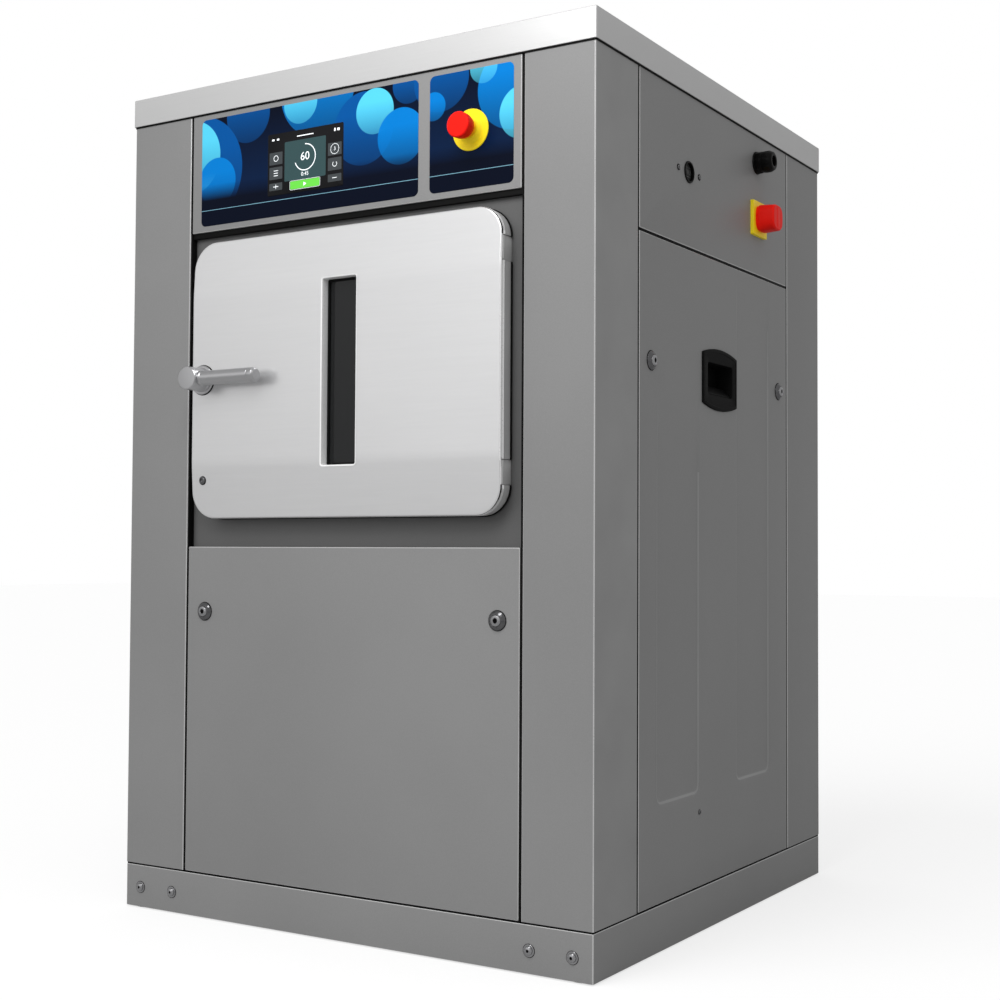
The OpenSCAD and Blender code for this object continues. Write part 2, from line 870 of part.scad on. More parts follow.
module screen_film(with_screen) {
    translate([0, 0, film_z]) plate_y(-by - film_t, -by) difference() {
        translate([film_a_x, 0]) round_rect(film_a_w, film_h, film_r);
        if (with_screen) translate([screen_x, screen_z - film_z])
            square([screen_w + 2 * fit, screen_h + 2 * fit], center = true);
    }
}

module stop_film() {
    translate([film_b_x, 0, film_z]) plate_y(-by - film_t, -by) difference() {
        round_rect(film_b_w, film_h, film_r);
        translate([stop_x - film_b_x, stop_z - film_z]) circle(d = stop_barrel_d + 2 * fit);
    }
}

module graphic_films() color("navy") {
    screen_film(true);
    mirror([0, 1, 0]) screen_film(false);
    both_faces() stop_film();
}

module touch_display() color("black") translate([screen_x, 0, screen_z]) {
    plate_y(-by - screen_proud, -by) square([screen_w, screen_h], center = true);
    plate_y(-by, screen_depth - by)
        square([screen_w - 2 * screen_hole_in - 2 * fit, screen_h - 2 * screen_hole_in - 2 * fit],
            center = true);
}

module switch_bases() color("yellow") {
    both_faces() translate([stop_x, -by, stop_z]) difference() {
        union() {
            rod_y(-film_t - stop_disc_t, -film_t, stop_disc_d);
            rod_y(-stop_collar_h, -film_t, stop_collar_d);
            rod_y(-stop_collar_h, stop_bore_depth + over, stop_barrel_d);
            plate_y(stop_bore_depth, stop_bore_depth + stop_block_len)
                square(stop_block, center = true);
        }
        rod_y(-stop_collar_h - over, stop_bore_depth, stop_bore_d);
    }
    translate([bx, isolator_y, isolator_z]) difference() {
        union() {
            plate_x(0, isolator_plate_t) square(isolator_plate, center = true);
            rod_x(-sheet_t - over, isolator_plate_t, isolator_barrel_d);
            plate_x(-sheet_t - isolator_body_len, -sheet_t - fit)
                square(isolator_body, center = true);
        }
        rod_x(-isolator_shaft_len, isolator_plate_t + over, isolator_shaft_d + 2 * run);
    }
}

module stop_button() translate([stop_x, -by, stop_z]) {
    rod_y(-stop_out, stop_head_h - stop_out, stop_head_d, stop_head_d - stop_head_taper);
    rod_y(-stop_out, stop_bore_depth - stop_travel - 2, stop_neck_d);
}

module front_stop_button() color("red") stop_button();
module rear_stop_button() color("red") mirror([0, 1, 0]) stop_button();

module isolator_knob() color("red") translate([bx + isolator_plate_t, isolator_y, isolator_z]) {
    translate([run, 0, 0]) rotate([0, 90, 0])
        cylinder(h = knob_len, d1 = knob_d, d2 = knob_face_d);
    rod_x(-isolator_shaft_len, run + over, isolator_shaft_d);
}

module recess() {
    plate_y(recess_y, recess_y + sheet_t) difference() {
        translate([bay_l + fit, lower_top_z + fit])
            square([bay_w - 2 * fit, fascia_z + fold - lower_top_z]);
        translate([door_x, door_z]) round_rect(port_w, port_h, port_r);
    }
}

module front_recess() color("gray") recess();
module rear_recess() color("gray") mirror([0, 1, 0]) recess();

module front_lower_panel() color("darkgray") difference() {
    bay_tray(base_z + fit, lower_top_z, fold);
    for (side = [-1, 1]) front_lock_at(side) lock_hole();
}

module rear_lower_panel() color("darkgray") mirror([0, 1, 0]) difference() {
    bay_tray(base_z + fit, lower_top_z, fold);
    at_rear_screws() rod_y(-over, sheet_t + over, screw_d + 2 * fit);
}

module right_upper_panel() color("darkgray") difference() {
    side_tray(side_split_z + seam, under_cover);
    translate([0, isolator_y, isolator_z])
        rod_x(bx - sheet_t - over, bx + over, isolator_barrel_d + 2 * fit);
    translate([0, gland_y, gland_z]) rod_x(bx - sheet_t - over, bx + over, gland_thread_d + 2 * fit);
    translate([0, socket_y, socket_z]) rod_x(bx - sheet_t - over, bx + over, socket_body + 2 * fit);
}

module left_upper_panel() color("darkgray") left_side() difference() {
    side_tray(side_split_z + seam, under_cover);
    for (y = [-inlet_dy, inlet_dy]) translate([0, y, inlet_z])
        rod_x(bx - sheet_t - over, bx + over, inlet_d + 2 * fit);
}

module grip_outline() intersection() {
    square([grip_w, grip_h], center = true);
    translate([0, grip_h / 2 - grip_bow_r]) circle(grip_bow_r);
    translate([0, grip_bow_r - grip_h / 2]) circle(grip_bow_r);
}

// Sunk fields in front of the grip and behind it, from x0 to x1 off the panel's face
module pressed_fields(x0, x1, lip) {
    for (f = [[side_f + press_in_front, grip_y - press_off_front, press_top_front],
            [grip_y + press_off_rear, side_r - press_in_rear, press_top_rear]]) {
        field_h = side_split_z - f[2] - press_z;
        plate_x(bx + x0, bx + x1) translate([(f[0] + f[1]) / 2, press_z + field_h / 2])
            round_rect(f[1] - f[0] + 2 * lip, field_h + 2 * lip, press_r + lip);
    }
}

module lower_side_panel() difference() {
    union() {
        side_tray(base_z + fit, side_split_z);
        pressed_fields(-sheet_t - press_depth, over - sheet_t, press_lip);
    }
    translate([0, grip_y, grip_z]) plate_x(bx - sheet_t - over, bx + over)
        square([pocket_w + 2 * grip_wall + 2 * fit, pocket_h + 2 * grip_wall + 2 * fit], center = true);
    for (side = [-1, 1]) side_lock_at(side) lock_hole();
    pressed_fields(-press_depth, over, 0);
}

module right_lower_panel() color("darkgray") lower_side_panel();
module left_lower_panel() color("darkgray") left_side() difference() {
    lower_side_panel();
    translate([0, drain_y, drain_z]) rod_x(bx - sheet_t - over, bx + over, drain_d + 2 * fit);
}

module grip() translate([bx, grip_y, grip_z]) difference() {
    union() {
        plate_x(0, grip_flange_t) grip_outline();
        plate_x(-pocket_depth - grip_wall, over)
            square([pocket_w + 2 * grip_wall, pocket_h + 2 * grip_wall], center = true);
    }
    plate_x(-pocket_depth, grip_flange_t + over) square([pocket_w, pocket_h], center = true);
}

module side_grips() color("black") for (m = [0, 1]) mirror([m, 0, 0]) grip();

module panel_fasteners() color("silver") {
    both_faces() at_plinth_bolts() bolt(skirt_t + beam_t + over);
    for (side = [-1, 1]) {
        front_lock_at(side) lock_ring();
        for (m = [0, 1]) mirror([m, 0, 0]) side_lock_at(side) lock_ring();
        translate([bx, socket_y + side * socket_screw_dy, socket_z])
            rotate([0, 0, 90]) screw_head(screw_d, screw_h);
    }
    mirror([0, 1, 0]) at_rear_screws() {
        screw_head(rear_screw_d, screw_h);
        rod_y(0, sheet_t + over, screw_d);
    }
}

module cable_gland() color("black") translate([bx, gland_y, gland_z]) difference() {
    union() {
        rod_x(0, gland_flange_t, gland_flange_d);
        rod_x(0, gland_len, gland_d);
        rod_x(-gland_tail, 0, gland_thread_d);
        translate([-sheet_t - fit - gland_nut_t, 0, 0]) rotate([0, 90, 0])
            cylinder(h = gland_nut_t, d = gland_flange_d, $fn = 6);
    }
    rod_x(-gland_tail - over, gland_len + over, gland_bore_d);
}

module service_socket() color("black") translate([bx, socket_y, socket_z]) difference() {
    union() {
        rod_x(0, socket_proud, socket_d);
        rod_x(-socket_body, 0, socket_body);
    }
    rod_x(-socket_bore_depth, socket_proud + over, socket_bore_d);
}

module front_lock(side) front_lock_at(side) mirror([side < 0 ? 1 : 0, 0, 0]) lock_core(front_lock_reach);
module side_lock(side) side_lock_at(side) mirror([side < 0 ? 1 : 0, 0, 0]) lock_core(side_lock_reach);

module front_lock_left() color("silver") front_lock(-1);
module front_lock_right() color("silver") front_lock(1);
module right_lock_front() color("silver") side_lock(-1);
module right_lock_rear() color("silver") side_lock(1);
module left_lock_front() color("silver") left_side() side_lock(-1);
module left_lock_rear() color("silver") left_side() side_lock(1);

// Door: a folded skin, a back pan, a window sleeve and lugs for the hinge pins
module door_form(inset, y1) {
    front = door_front + inset;
    half_band = door_band_h / 2;
    half_h = door_h / 2;
    intersection() {
        translate([door_x, 0, door_z]) plate_y(front, y1)
            round_rect(door_w - 2 * inset, door_h - 2 * inset, door_corner_r - inset);
        translate([0, 0, door_z]) plate_x(door_x - door_w / 2, door_x + door_w / 2)
            polygon([[front, -half_band], [front, half_band], [front + door_lean, half_h],
                [y1, half_h], [y1, -half_h], [front + door_lean, -half_h]]);
    }
}

module at_window() {
    translate([door_x + window_shift, 0, door_z]) children();
}

module at_hinges() {
    for (side = [-1, 1]) translate([hinge_x, hinge_y, door_z + side * hinge_dz]) children();
}

module door() difference() {
    union() {
        difference() {
            door_form(0, door_back);
            door_form(skin_t, door_back + over);
        }
        intersection() {
            door_form(fit, door_back);
            union() {
                at_window() plate_y(door_front, door_back)
                    rect_ring(window_w, window_h, window_r, sleeve_t);
                translate([handle_x, 0, door_z])
                    rod_y(door_front, door_front + tube_len, latch_shaft_d + 2 * run + 2 * tube_wall);
                for (side = [-1, 1]) at_hinges() translate([0, 0, side * (notch_h + lug_h) / 2])
                    block([-lug_w / 2, -hinge_back, -lug_h / 2],
                        [hinge_in, door_back - pan_t - hinge_y, lug_h / 2]);
                difference() {
                    door_form(skin_t / 2, door_back);
                    door_form(-over, door_back - pan_t);
                }
            }
        }
        translate([handle_x, door_front + door_lean / 2, door_z - door_screw_dz])
            rod_y(-door_screw_h, skin_t, door_screw_d);
    }
    at_window() plate_y(door_front - over, door_back + over) round_rect(window_w, window_h, window_r);
    translate([handle_x, 0, door_z]) {
        rod_y(door_front - over, door_front + tube_len + over, latch_shaft_d + 2 * run);
    }
    at_hinges() {
        block([-lug_w / 2 - hinge_in, skin_t + lean_at_hinge - hinge_back, -notch_h / 2],
            [hinge_in + over, door_thick, notch_h / 2]);
        rod_z(-notch_h / 2 - lug_h - over, notch_h / 2 + lug_h + over, hinge_pin_d + 2 * bearing_fit);
    }
}

module load_door() color("lightgray") door();
module unload_door() color("lightgray") mirror([0, 1, 0]) door();

module window_glass() at_window()
    plate_y(door_front + glass_back, door_front + glass_back + glass_t)
        round_rect(window_w - 2 * fit, window_h - 2 * fit, window_r - fit);

module load_window() color("darkslategray") window_glass();
module unload_window() color("darkslategray") mirror([0, 1, 0]) window_glass();

module handle() translate([handle_x, door_front, door_z]) {
    rod_y(-run - handle_ring_t, -run, handle_ring_d);
    rod_y(-handle_boss_h, -run, handle_boss_d);
    translate([0, -lever_out, 0]) {
        rod_x(0, lever_len - lever_end_chamfer, lever_d);
        translate([lever_len - lever_end_chamfer, 0, 0]) rotate([0, 90, 0])
            cylinder(h = lever_end_chamfer, d1 = lever_d, d2 = lever_d - 2 * lever_end_chamfer);
    }
    rod_y(-run - over, tube_len + run + latch_t, latch_shaft_d);
    block([-latch_shaft_d / 2, tube_len + run, -latch_shaft_d / 2],
        [latch_len, tube_len + run + latch_t, latch_shaft_d / 2]);
}

module load_handle() color("silver") handle();
module unload_handle() color("silver") mirror([0, 1, 0]) handle();

module door_hinges() color("gray") both_faces() at_hinges() {
    rod_z(-hinge_h / 2, hinge_h / 2, hinge_t);
    block([-hinge_t / 2, 0, -hinge_h / 2], [hinge_t / 2, recess_y - hinge_y - fit, hinge_h / 2]);
    rod_z(-notch_h / 2 - lug_h, notch_h / 2 + lug_h, hinge_pin_d);
}

// Bellows between the recess opening, the door's back and the tub's neck
module bellows() {
    inner_w = port_w - 2 * bellows_wall;
    inner_h = port_h - 2 * bellows_wall;
    inner_r = port_r - bellows_wall;
    behind = recess_y + sheet_t + fit;
    neck_face = -neck_out - run;
    at_door() {
        plate_y(door_back + bellows_lip, behind + bellows_back)
            rect_ring(inner_w, inner_h, inner_r, bellows_wall - fit);
        plate_y(behind, behind + bellows_back)
            rect_ring(inner_w, inner_h, inner_r, bellows_wall + bellows_flange);
        plate_y(behind + bellows_back, neck_face - bellows_foot)
            rect_ring(inner_w, inner_h, inner_r, bellows_wall / 2);
        plate_y(neck_face - bellows_foot, neck_face)
            rect_ring(inner_w, inner_h, inner_r, bellows_wall + neck_t);
    }
}

module door_bellows() color("black") both_faces() bellows();

// Joints of the tub's sheets: they run outwards from the corners of the necks
module tub_joints() {
    side_w = neck_w / 2 - neck_r;
    side_h = neck_h / 2 - neck_r;
    reach = (drum_len / 2 + tub_end_gap - side_w + over) * sqrt(2);
    both_faces() at_door() for (x = [-1, 1], z = [-1, 1])
        translate([x * side_w, 0, z * side_h]) rotate([0, -atan2(z, x), 0])
            block([0, -neck_out - over, -fit / 2], [reach, -tub_ri / 2, fit / 2]);
}

// Tub: a cylinder with a neck on each face, a sump and a filling nipple. Its top, its
// foot and the four sides of its necks are separate sheets.
module tub_shell() color("silver") difference() {
    union() {
        at_drum() rod_x(tub_l + fit, tub_rt - fit, 2 * tub_ro);
        both_faces() at_door() {
            plate_y(-neck_out, 0) round_rect(neck_w + 2 * neck_t, neck_h + 2 * neck_t, neck_r + neck_t);
            plate_y(-neck_out, neck_t - neck_out)
                round_rect(neck_w + 2 * neck_flange, neck_h + 2 * neck_flange, neck_r + neck_flange);
        }
        block([drain_x - sump_w / 2, drain_y - sump_w / 2, door_z - sump_z],
            [drain_x + sump_w / 2, drain_y + sump_w / 2, door_z]);
        translate([drain_x, drain_y, 0]) rod_z(door_z - sump_z - spigot_len, door_z, spigot_d);
        translate([nipple_x, 0, 0]) rod_z(door_z, nipple_top, nipple_d);
    }
    at_drum() rod_x(tub_l - over, tub_rt + over, 2 * tub_ri);
    at_door() plate_y(-neck_out - over, neck_out + over) round_rect(neck_w, neck_h, neck_r);
    block([drain_x - sump_w / 2 + tub_t, drain_y - sump_w / 2 + tub_t, door_z - sump_z + tub_t],
        [drain_x + sump_w / 2 - tub_t, drain_y + sump_w / 2 - tub_t, door_z]);
    translate([drain_x, drain_y, 0])
        rod_z(door_z - sump_z - spigot_len - over, door_z, spigot_d - 2 * tub_t);
    translate([nipple_x, 0, 0]) rod_z(door_z, nipple_top + over, nipple_d - 2 * tub_t);
    tub_joints();
}

// One end plate on the right: disc, apron, feet, ribs and bearing housing
module tub_end() {
    foot_y = spring_y + tub_foot_w / 2;
    x0 = tub_rt;
    x1 = tub_rt + tub_end_t;
    difference() {
        union() {
            plate_x(x0, x1) {
                translate([0, door_z]) circle(tub_ro + tub_rim);
                translate([-foot_y, tub_foot_z]) square([2 * foot_y, door_z - tub_foot_z - tub_ro / 2]);
            }
            at_drum() {
                rod_x(x0, x1 + housing_len, housing_d);
                for (i = [0:tub_ribs - 1]) rotate([(i + 0.5) * 360 / tub_ribs, 0, 0])
                    block([x1 - over, housing_d / 2 - over, -rib_t / 2], [x1 + rib_h, tub_ri, rib_t / 2]);
            }
            for (y = [-spring_y, spring_y]) {
                block([x1 - over, y - tub_foot_w / 2, tub_foot_z],
                    [x1 + tub_foot_len, y + tub_foot_w / 2, tub_foot_z + tub_foot_t]);
                translate([0, y, tub_foot_z + tub_foot_t]) rotate([90, 0, 0])
                    translate([0, 0, -gusset_t / 2]) linear_extrude(gusset_t)
                        polygon([[x1 - over, -over], [x1 + tub_foot_len - gusset_t, -over],
                            [x1 - over, gusset_h]]);
            }
        }
        at_drum() rod_x(x0 - over, x1 + housing_len + over, bearing_d);
    }
}

module at_heaters() {
    for (a = heater_deg) at_drum() rotate([a + 90, 0, 0]) translate([0, 0, -heater_r]) children();
}

module tub_ends() color("darkgray") {
    difference() {
        tub_end();
        at_heaters() rod_x(tub_rt - over, tub_rt + tub_end_t + over, heater_hole_d);
    }
    difference() {
        translate([2 * door_x, 0, 0]) left_side() tub_end();
        translate([0, motor_y, motor_z])
            rod_x(tub_l - tub_end_t - over, tub_l + over, motor_hole_d);
    }
}

module bearings() color("silver") at_drum() for (x = [tub_l - tub_end_t - housing_len + fit,
        tub_rt + tub_end_t + housing_len - bearing_len - fit])
    difference() {
        rod_x(x, x + bearing_len, bearing_d - 2 * bearing_fit);
        rod_x(x - over, x + bearing_len + over, shaft_d + 2 * bearing_fit);
    }

module heaters() color("dimgray") at_heaters() {
    for (side = [-1, 1]) translate([0, side * heater_pitch / 2, 0])
        rod_x(tub_rt - heater_len, tub_rt + tub_end_t + heater_head_len, heater_d);
    translate([tub_rt - heater_len + heater_d, 0, 0])
        rod_y(-heater_pitch / 2, heater_pitch / 2, heater_bend_d);
    rod_x(tub_rt + tub_end_t + fit, tub_rt + tub_end_t + heater_head_len, heater_head_d);
}

module drive_motor() color("gray") translate([0, motor_y, motor_z]) difference() {
    union() {
        plate_x(tub_l + fit, tub_l + motor_flange_t) round_rect(motor_flange, motor_flange, motor_flange_r);
        rod_x(tub_l + motor_flange_t, tub_l + motor_len, motor_d - 2 * motor_fin_h);
        for (i = [0:motor_fins - 1]) rotate([i * 360 / motor_fins, 0, 0])
            block([tub_l + motor_flange_t, motor_d / 2 - 2 * motor_fin_h, -motor_fin_t / 2],
                [tub_l + motor_len - motor_flange_t, motor_d / 2, motor_fin_t / 2]);
        translate([tub_l + motor_len / 2, -motor_d / 2 - motor_box[2] / 2, 0]) cube(
            [motor_box[0], motor_box[2] + 2 * motor_fin_h, motor_box[1]], center = true);
    }
    rod_x(tub_l - over, tub_l + motor_bore_len, motor_shaft_d + 2 * bearing_fit);
}

module motor_pulley() color("silver") translate([0, motor_y, motor_z]) {
    rod_x(pulley_x0, pulley_x1, motor_pulley_d);
    rod_x(pulley_x0, tub_l + motor_bore_len - over, motor_shaft_d);
}

module drum_pulley() color("silver") at_drum() difference() {
    union() {
        difference() {
            rod_x(pulley_x0, pulley_x1, pulley_d);
            rod_x(pulley_x0 - over, pulley_x1 + over, pulley_d - 2 * rim_t);
        }
        rod_x((pulley_x0 + pulley_x1 - web_t) / 2, (pulley_x0 + pulley_x1 + web_t) / 2, pulley_d - rim_t);
        rod_x(pulley_x0, pulley_x1, pulley_hub_d);
    }
    rod_x(pulley_x0 - over, pulley_x1 + over, shaft_d + 2 * bearing_fit);
    for (i = [0:pulley_holes - 1]) rotate([i * 360 / pulley_holes, 0, 0])
        translate([0, 0, pulley_hole_r]) rod_x(pulley_x0 - over, pulley_x1 + over, pulley_hole_d);
}

module belt_loop(extra) hull() {
    translate([0, door_z]) circle(pulley_d / 2 + extra, $fn = belt_fn);
    translate([motor_y, motor_z]) circle(motor_pulley_d / 2 + extra, $fn = belt_fn);
}

module drive_belt() color("black")
    plate_x((pulley_x0 + pulley_x1 - belt_w) / 2, (pulley_x0 + pulley_x1 + belt_w) / 2) difference() {
        belt_loop(belt_lift + belt_t);
        belt_loop(belt_lift);
    }

// Suspension
module suspension_springs() color("black") for (x = [spring_lx, spring_rx], y = [-spring_y, spring_y])
    translate([x, y, 0]) difference() {
        rod_z(base_z + fit, tub_foot_z - fit, spring_d);
        rod_z(base_z, tub_foot_z, spring_bore);
    }

module damper_cylinders() color("dimgray") for (x = [spring_lx, spring_rx])
    translate([x, damper_y, 0]) difference() {
        rod_z(base_z + fit, damper_top, damper_d);
        rod_z(damper_bore_z, damper_top + over, damper_rod_d + 2 * run);
    }

module damper_rods() color("silver") for (side = [-1, 1]) {
    x = side < 0 ? spring_lx : spring_rx;
    plate_end = side < 0 ? tub_l - tub_end_t - fit : tub_rt + tub_end_t + fit;
    translate([x, damper_y, 0]) rod_z(damper_rod_z, damper_lug_z, damper_rod_d);
    translate([0, damper_y, damper_lug_z])
        block([min(plate_end, x - damper_rod_d), -damper_lug_t, -damper_lug_t / 2],
            [max(plate_end, x + damper_rod_d), damper_lug_t, damper_lug_t / 2]);
}

// Cross-section of a lifter on the drum's wall, less a wall on every side
module lifter_profile(wall) {
    foot = lifter_w / 2 - wall;
    tip = lifter_tip_w / 2 - wall;
    polygon([[-drum_r - wall, -foot], [-drum_r - wall, foot],
        [lifter_h - wall - drum_r, tip], [lifter_h - wall - drum_r, -tip]]);
}

// Drum: shell, end discs, three lifters open at the back, and two stub shafts
module drum_shell() color("silver") at_drum() difference() {
    union() {
        difference() {
            rod_x(drum_l, drum_rt, 2 * drum_r);
            rod_x(drum_l + drum_end_t, drum_rt - drum_end_t, 2 * (drum_r - drum_t));
        }
        rod_x(drum_l - tub_end_gap / 2, drum_l + drum_end_t + hub_t, hub_d);
        rod_x(drum_rt - drum_end_t - hub_t, drum_rt + tub_end_gap / 2, hub_d);
        rod_x(pulley_x0, drum_l + drum_end_t, shaft_d);
        rod_x(drum_rt - drum_end_t, tub_rt + tub_end_t + housing_len, shaft_d);
        for (a = lifter_deg) rotate([a, 0, 0]) intersection() {
            rod_x(drum_l + over, drum_rt - over, 2 * drum_r - drum_t);
            plate_x(drum_l + over, drum_rt - over) lifter_profile(0);
        }
        for (side = [-1, 1], x = [door_x - hatch_w / 2 - 2 * ear_w, door_x + hatch_w / 2 + ear_w])
            rotate([-side * leaf_axis_deg, 0, 0]) block([x, -drum_r + drum_t / 2, -ear_size / 2],
                [x + ear_w, ear_size - drum_r, ear_size / 2]);
    }
    for (a = lifter_deg) rotate([a, 0, 0])
        plate_x(drum_l + drum_end_t + hub_t, drum_rt - drum_end_t - hub_t) lifter_profile(lifter_wall);
    plate_x(door_x - hatch_w / 2, door_x + hatch_w / 2) polygon([[0, 0],
        [-2 * drum_r, -2 * drum_r * tan(hatch_half_deg)], [-2 * drum_r, 2 * drum_r * tan(hatch_half_deg)]]);
    for (side = [-1, 1]) rotate([-side * leaf_axis_deg, 0, 0]) translate([0, -leaf_axis_r, 0])
        rod_x(door_x - hatch_w / 2 - 2 * ear_w - over, door_x + hatch_w / 2 + 2 * ear_w + over,
            leaf_pin_d + 2 * bearing_fit);
}

// One leaf of the drum's hatch: a curved plate with its hinge barrel and pin
module leaf() at_drum() {
    x0 = door_x - hatch_w / 2 + leaf_gap;
    x1 = door_x + hatch_w / 2 - leaf_gap;
    far = 2 * drum_r;
    intersection() {
        difference() {
            rod_x(x0, x1, 2 * drum_r);
            rod_x(x0 - over, x1 + over, 2 * (drum_r - drum_t));
        }
        plate_x(x0, x1)
            polygon([[0, 0], [-far, far * tan(leaf_mid_deg)], [-far, far * tan(leaf_root_deg)]]);
    }
    rotate([-leaf_axis_deg, 0, 0]) {
        translate([0, -leaf_axis_r, 0]) {
            rod_x(x0, x1, leaf_barrel_d);
            rod_x(x0 - leaf_gap - 2 * ear_w, x1 + leaf_gap + 2 * ear_w, leaf_pin_d);
        }
    }
    plate_x(x0 + leaf_web_in, x1 - leaf_web_in) polygon([
        leaf_point(drum_r - drum_t / 2, leaf_web_deg),
        leaf_point(drum_r - drum_t / 2, leaf_web_deg - leaf_web_width_deg),
        leaf_point(leaf_axis_r - leaf_web_t, leaf_axis_deg),
        leaf_point(leaf_axis_r + leaf_web_t / 2, leaf_axis_deg)]);
}

function leaf_point(r, a) = [-r * cos(a), r * sin(a)];

module hatch_leaf_upper() color("silver") leaf();
module hatch_leaf_lower() color("silver") translate([0, 0, 2 * door_z]) mirror([0, 0, 1]) leaf();

// Water and electrics
module inlet_valves() color("steelblue") difference() {
    union() {
        for (y = [-inlet_dy, inlet_dy]) translate([-bx, y, inlet_z]) {
            rod_x(-pipe_out, sheet_t + over, inlet_d);
            rod_x(sheet_t + fit, valve_len, valve_body_d);
            translate([-collar_t - fit, 0, 0]) rotate([0, 90, 0])
                cylinder(h = collar_t, d = inlet_collar_d, $fn = 6);
        }
        translate([manifold_in - bx, 0, inlet_z]) rod_y(-inlet_dy, inlet_dy, feed_d);
        translate([0, 0, inlet_z]) rod_x(manifold_in - bx, nipple_x, feed_d);
        translate([nipple_x, 0, 0]) rod_z(sleeve_z, inlet_z + feed_d / 2, sleeve_d);
    }
    translate([nipple_x, 0, 0]) rod_z(sleeve_z - over, sleeve_bore_top, sleeve_bore);
}

module drain_valve() color("gray") difference() {
    union() {
        translate([drain_x, drain_y, 0]) {
            rod_z(drain_z - valve_d / 2, drain_z + valve_h, valve_d);
            translate([0, 0, drain_z]) block([0, -valve_actuator[1] / 2, -valve_actuator[2] / 2],
                [valve_d / 2 + valve_actuator[0], valve_actuator[1] / 2, valve_actuator[2] / 2]);
            rod_z(drain_z + valve_h - over, drain_z + valve_h + boot_h, boot_d);
        }
        translate([0, drain_y, drain_z]) {
            rod_x(-bx - pipe_out, drain_x, drain_d);
            rod_x(-bx - fit - collar_t, -bx - fit, drain_collar_d);
        }
    }
    translate([drain_x, drain_y, 0]) rod_z(drain_z + valve_h, drain_z + valve_h + boot_h + over, boot_bore);
    translate([0, drain_y, drain_z])
        rod_x(-bx - pipe_out - over, drain_x - valve_d / 2, drain_d - 2 * tub_t);
}

module control_box() color("lightgray") {
    x1 = bx - sheet_t - box_gap;
    block([box_x0, box_y1 - box_len, box_z1 - box_h], [x1 - box_lid_t, box_y1, box_z1]);
    block([x1 - box_lid_t, box_y1 - box_len - box_lid_rim, box_z1 - box_h - box_lid_rim],
        [x1, box_y1 + box_lid_rim, box_z1 + box_lid_rim]);
    for (y = [box_y1 - box_len + box_standoff_in, box_y1 - box_standoff_in],
         z = [box_z1 - box_h + box_standoff_in, box_z1 - box_standoff_in])
        translate([0, y, z]) rod_x(x1 - over, bx - sheet_t - fit, box_standoff_d);
}

base_frame();
skirt();
levelling_feet();
top_rails();
post_front_left();
post_front_right();
post_rear_left();
post_rear_right();
top_cover();
front_fascia();
rear_fascia();
graphic_films();
touch_display();
switch_bases();
front_recess();
rear_recess();
front_lower_panel();
rear_lower_panel();
right_upper_panel();
left_upper_panel();
right_lower_panel();
left_lower_panel();
side_grips();
panel_fasteners();
door_hinges();
cable_gland();
service_socket();
control_box();
inlet_valves();
drain_valve();
damper_cylinders();
suspension_springs();
door_bellows();
front_lock_left();
front_lock_right();
right_lock_front();
right_lock_rear();
left_lock_front();
left_lock_rear();
front_stop_button();
rear_stop_button();
isolator_knob();
load_door();
load_window();
load_handle();
unload_door();
unload_window();
unload_handle();
tub_shell();
tub_ends();
bearings();
heaters();
drive_motor();
drive_belt();
damper_rods();
drum_shell();
drum_pulley();
motor_pulley();
hatch_leaf_upper();
hatch_leaf_lower();
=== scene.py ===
"""Looks of a barrier washer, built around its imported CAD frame.

Lengths are millimetres in the row frame until a mesh is made: X right, Y back, Z up.
"""
import json
import math

import bmesh
import bpy
from mathutils import Matrix, Vector

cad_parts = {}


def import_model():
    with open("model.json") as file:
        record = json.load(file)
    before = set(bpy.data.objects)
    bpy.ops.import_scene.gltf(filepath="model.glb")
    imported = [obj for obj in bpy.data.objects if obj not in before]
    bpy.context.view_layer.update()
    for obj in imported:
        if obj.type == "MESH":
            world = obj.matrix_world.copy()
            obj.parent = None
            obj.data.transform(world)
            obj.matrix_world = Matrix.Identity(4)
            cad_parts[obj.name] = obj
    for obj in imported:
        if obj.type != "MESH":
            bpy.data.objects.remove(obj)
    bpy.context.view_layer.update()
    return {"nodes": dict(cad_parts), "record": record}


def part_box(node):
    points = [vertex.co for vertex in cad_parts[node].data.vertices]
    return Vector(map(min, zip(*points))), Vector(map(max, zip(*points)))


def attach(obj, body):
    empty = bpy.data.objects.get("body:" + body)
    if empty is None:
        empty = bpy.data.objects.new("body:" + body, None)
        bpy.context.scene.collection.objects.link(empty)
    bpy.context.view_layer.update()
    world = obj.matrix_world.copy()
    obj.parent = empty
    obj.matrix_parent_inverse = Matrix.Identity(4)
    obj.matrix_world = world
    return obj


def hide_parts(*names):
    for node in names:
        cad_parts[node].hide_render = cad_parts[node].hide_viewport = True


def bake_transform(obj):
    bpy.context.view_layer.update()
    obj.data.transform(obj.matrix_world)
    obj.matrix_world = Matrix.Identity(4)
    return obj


MM = 0.001
TINY = 1e-6
IDENTITY = Matrix.Identity(4)
MIRROR_X = Matrix.Diagonal((-1, 1, 1, 1))
MIRROR_Y = Matrix.Diagonal((1, -1, 1, 1))

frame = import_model()
scene = bpy.context.scene


def box_mm(node):
    """A CAD node's lowest and highest corners at rest, in millimetres."""
    low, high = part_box(node)
    return low / MM, high / MM


def linked(name, data):
    made = bpy.data.objects.new(name, data)
    scene.collection.objects.link(made)
    return made


# Shader helpers

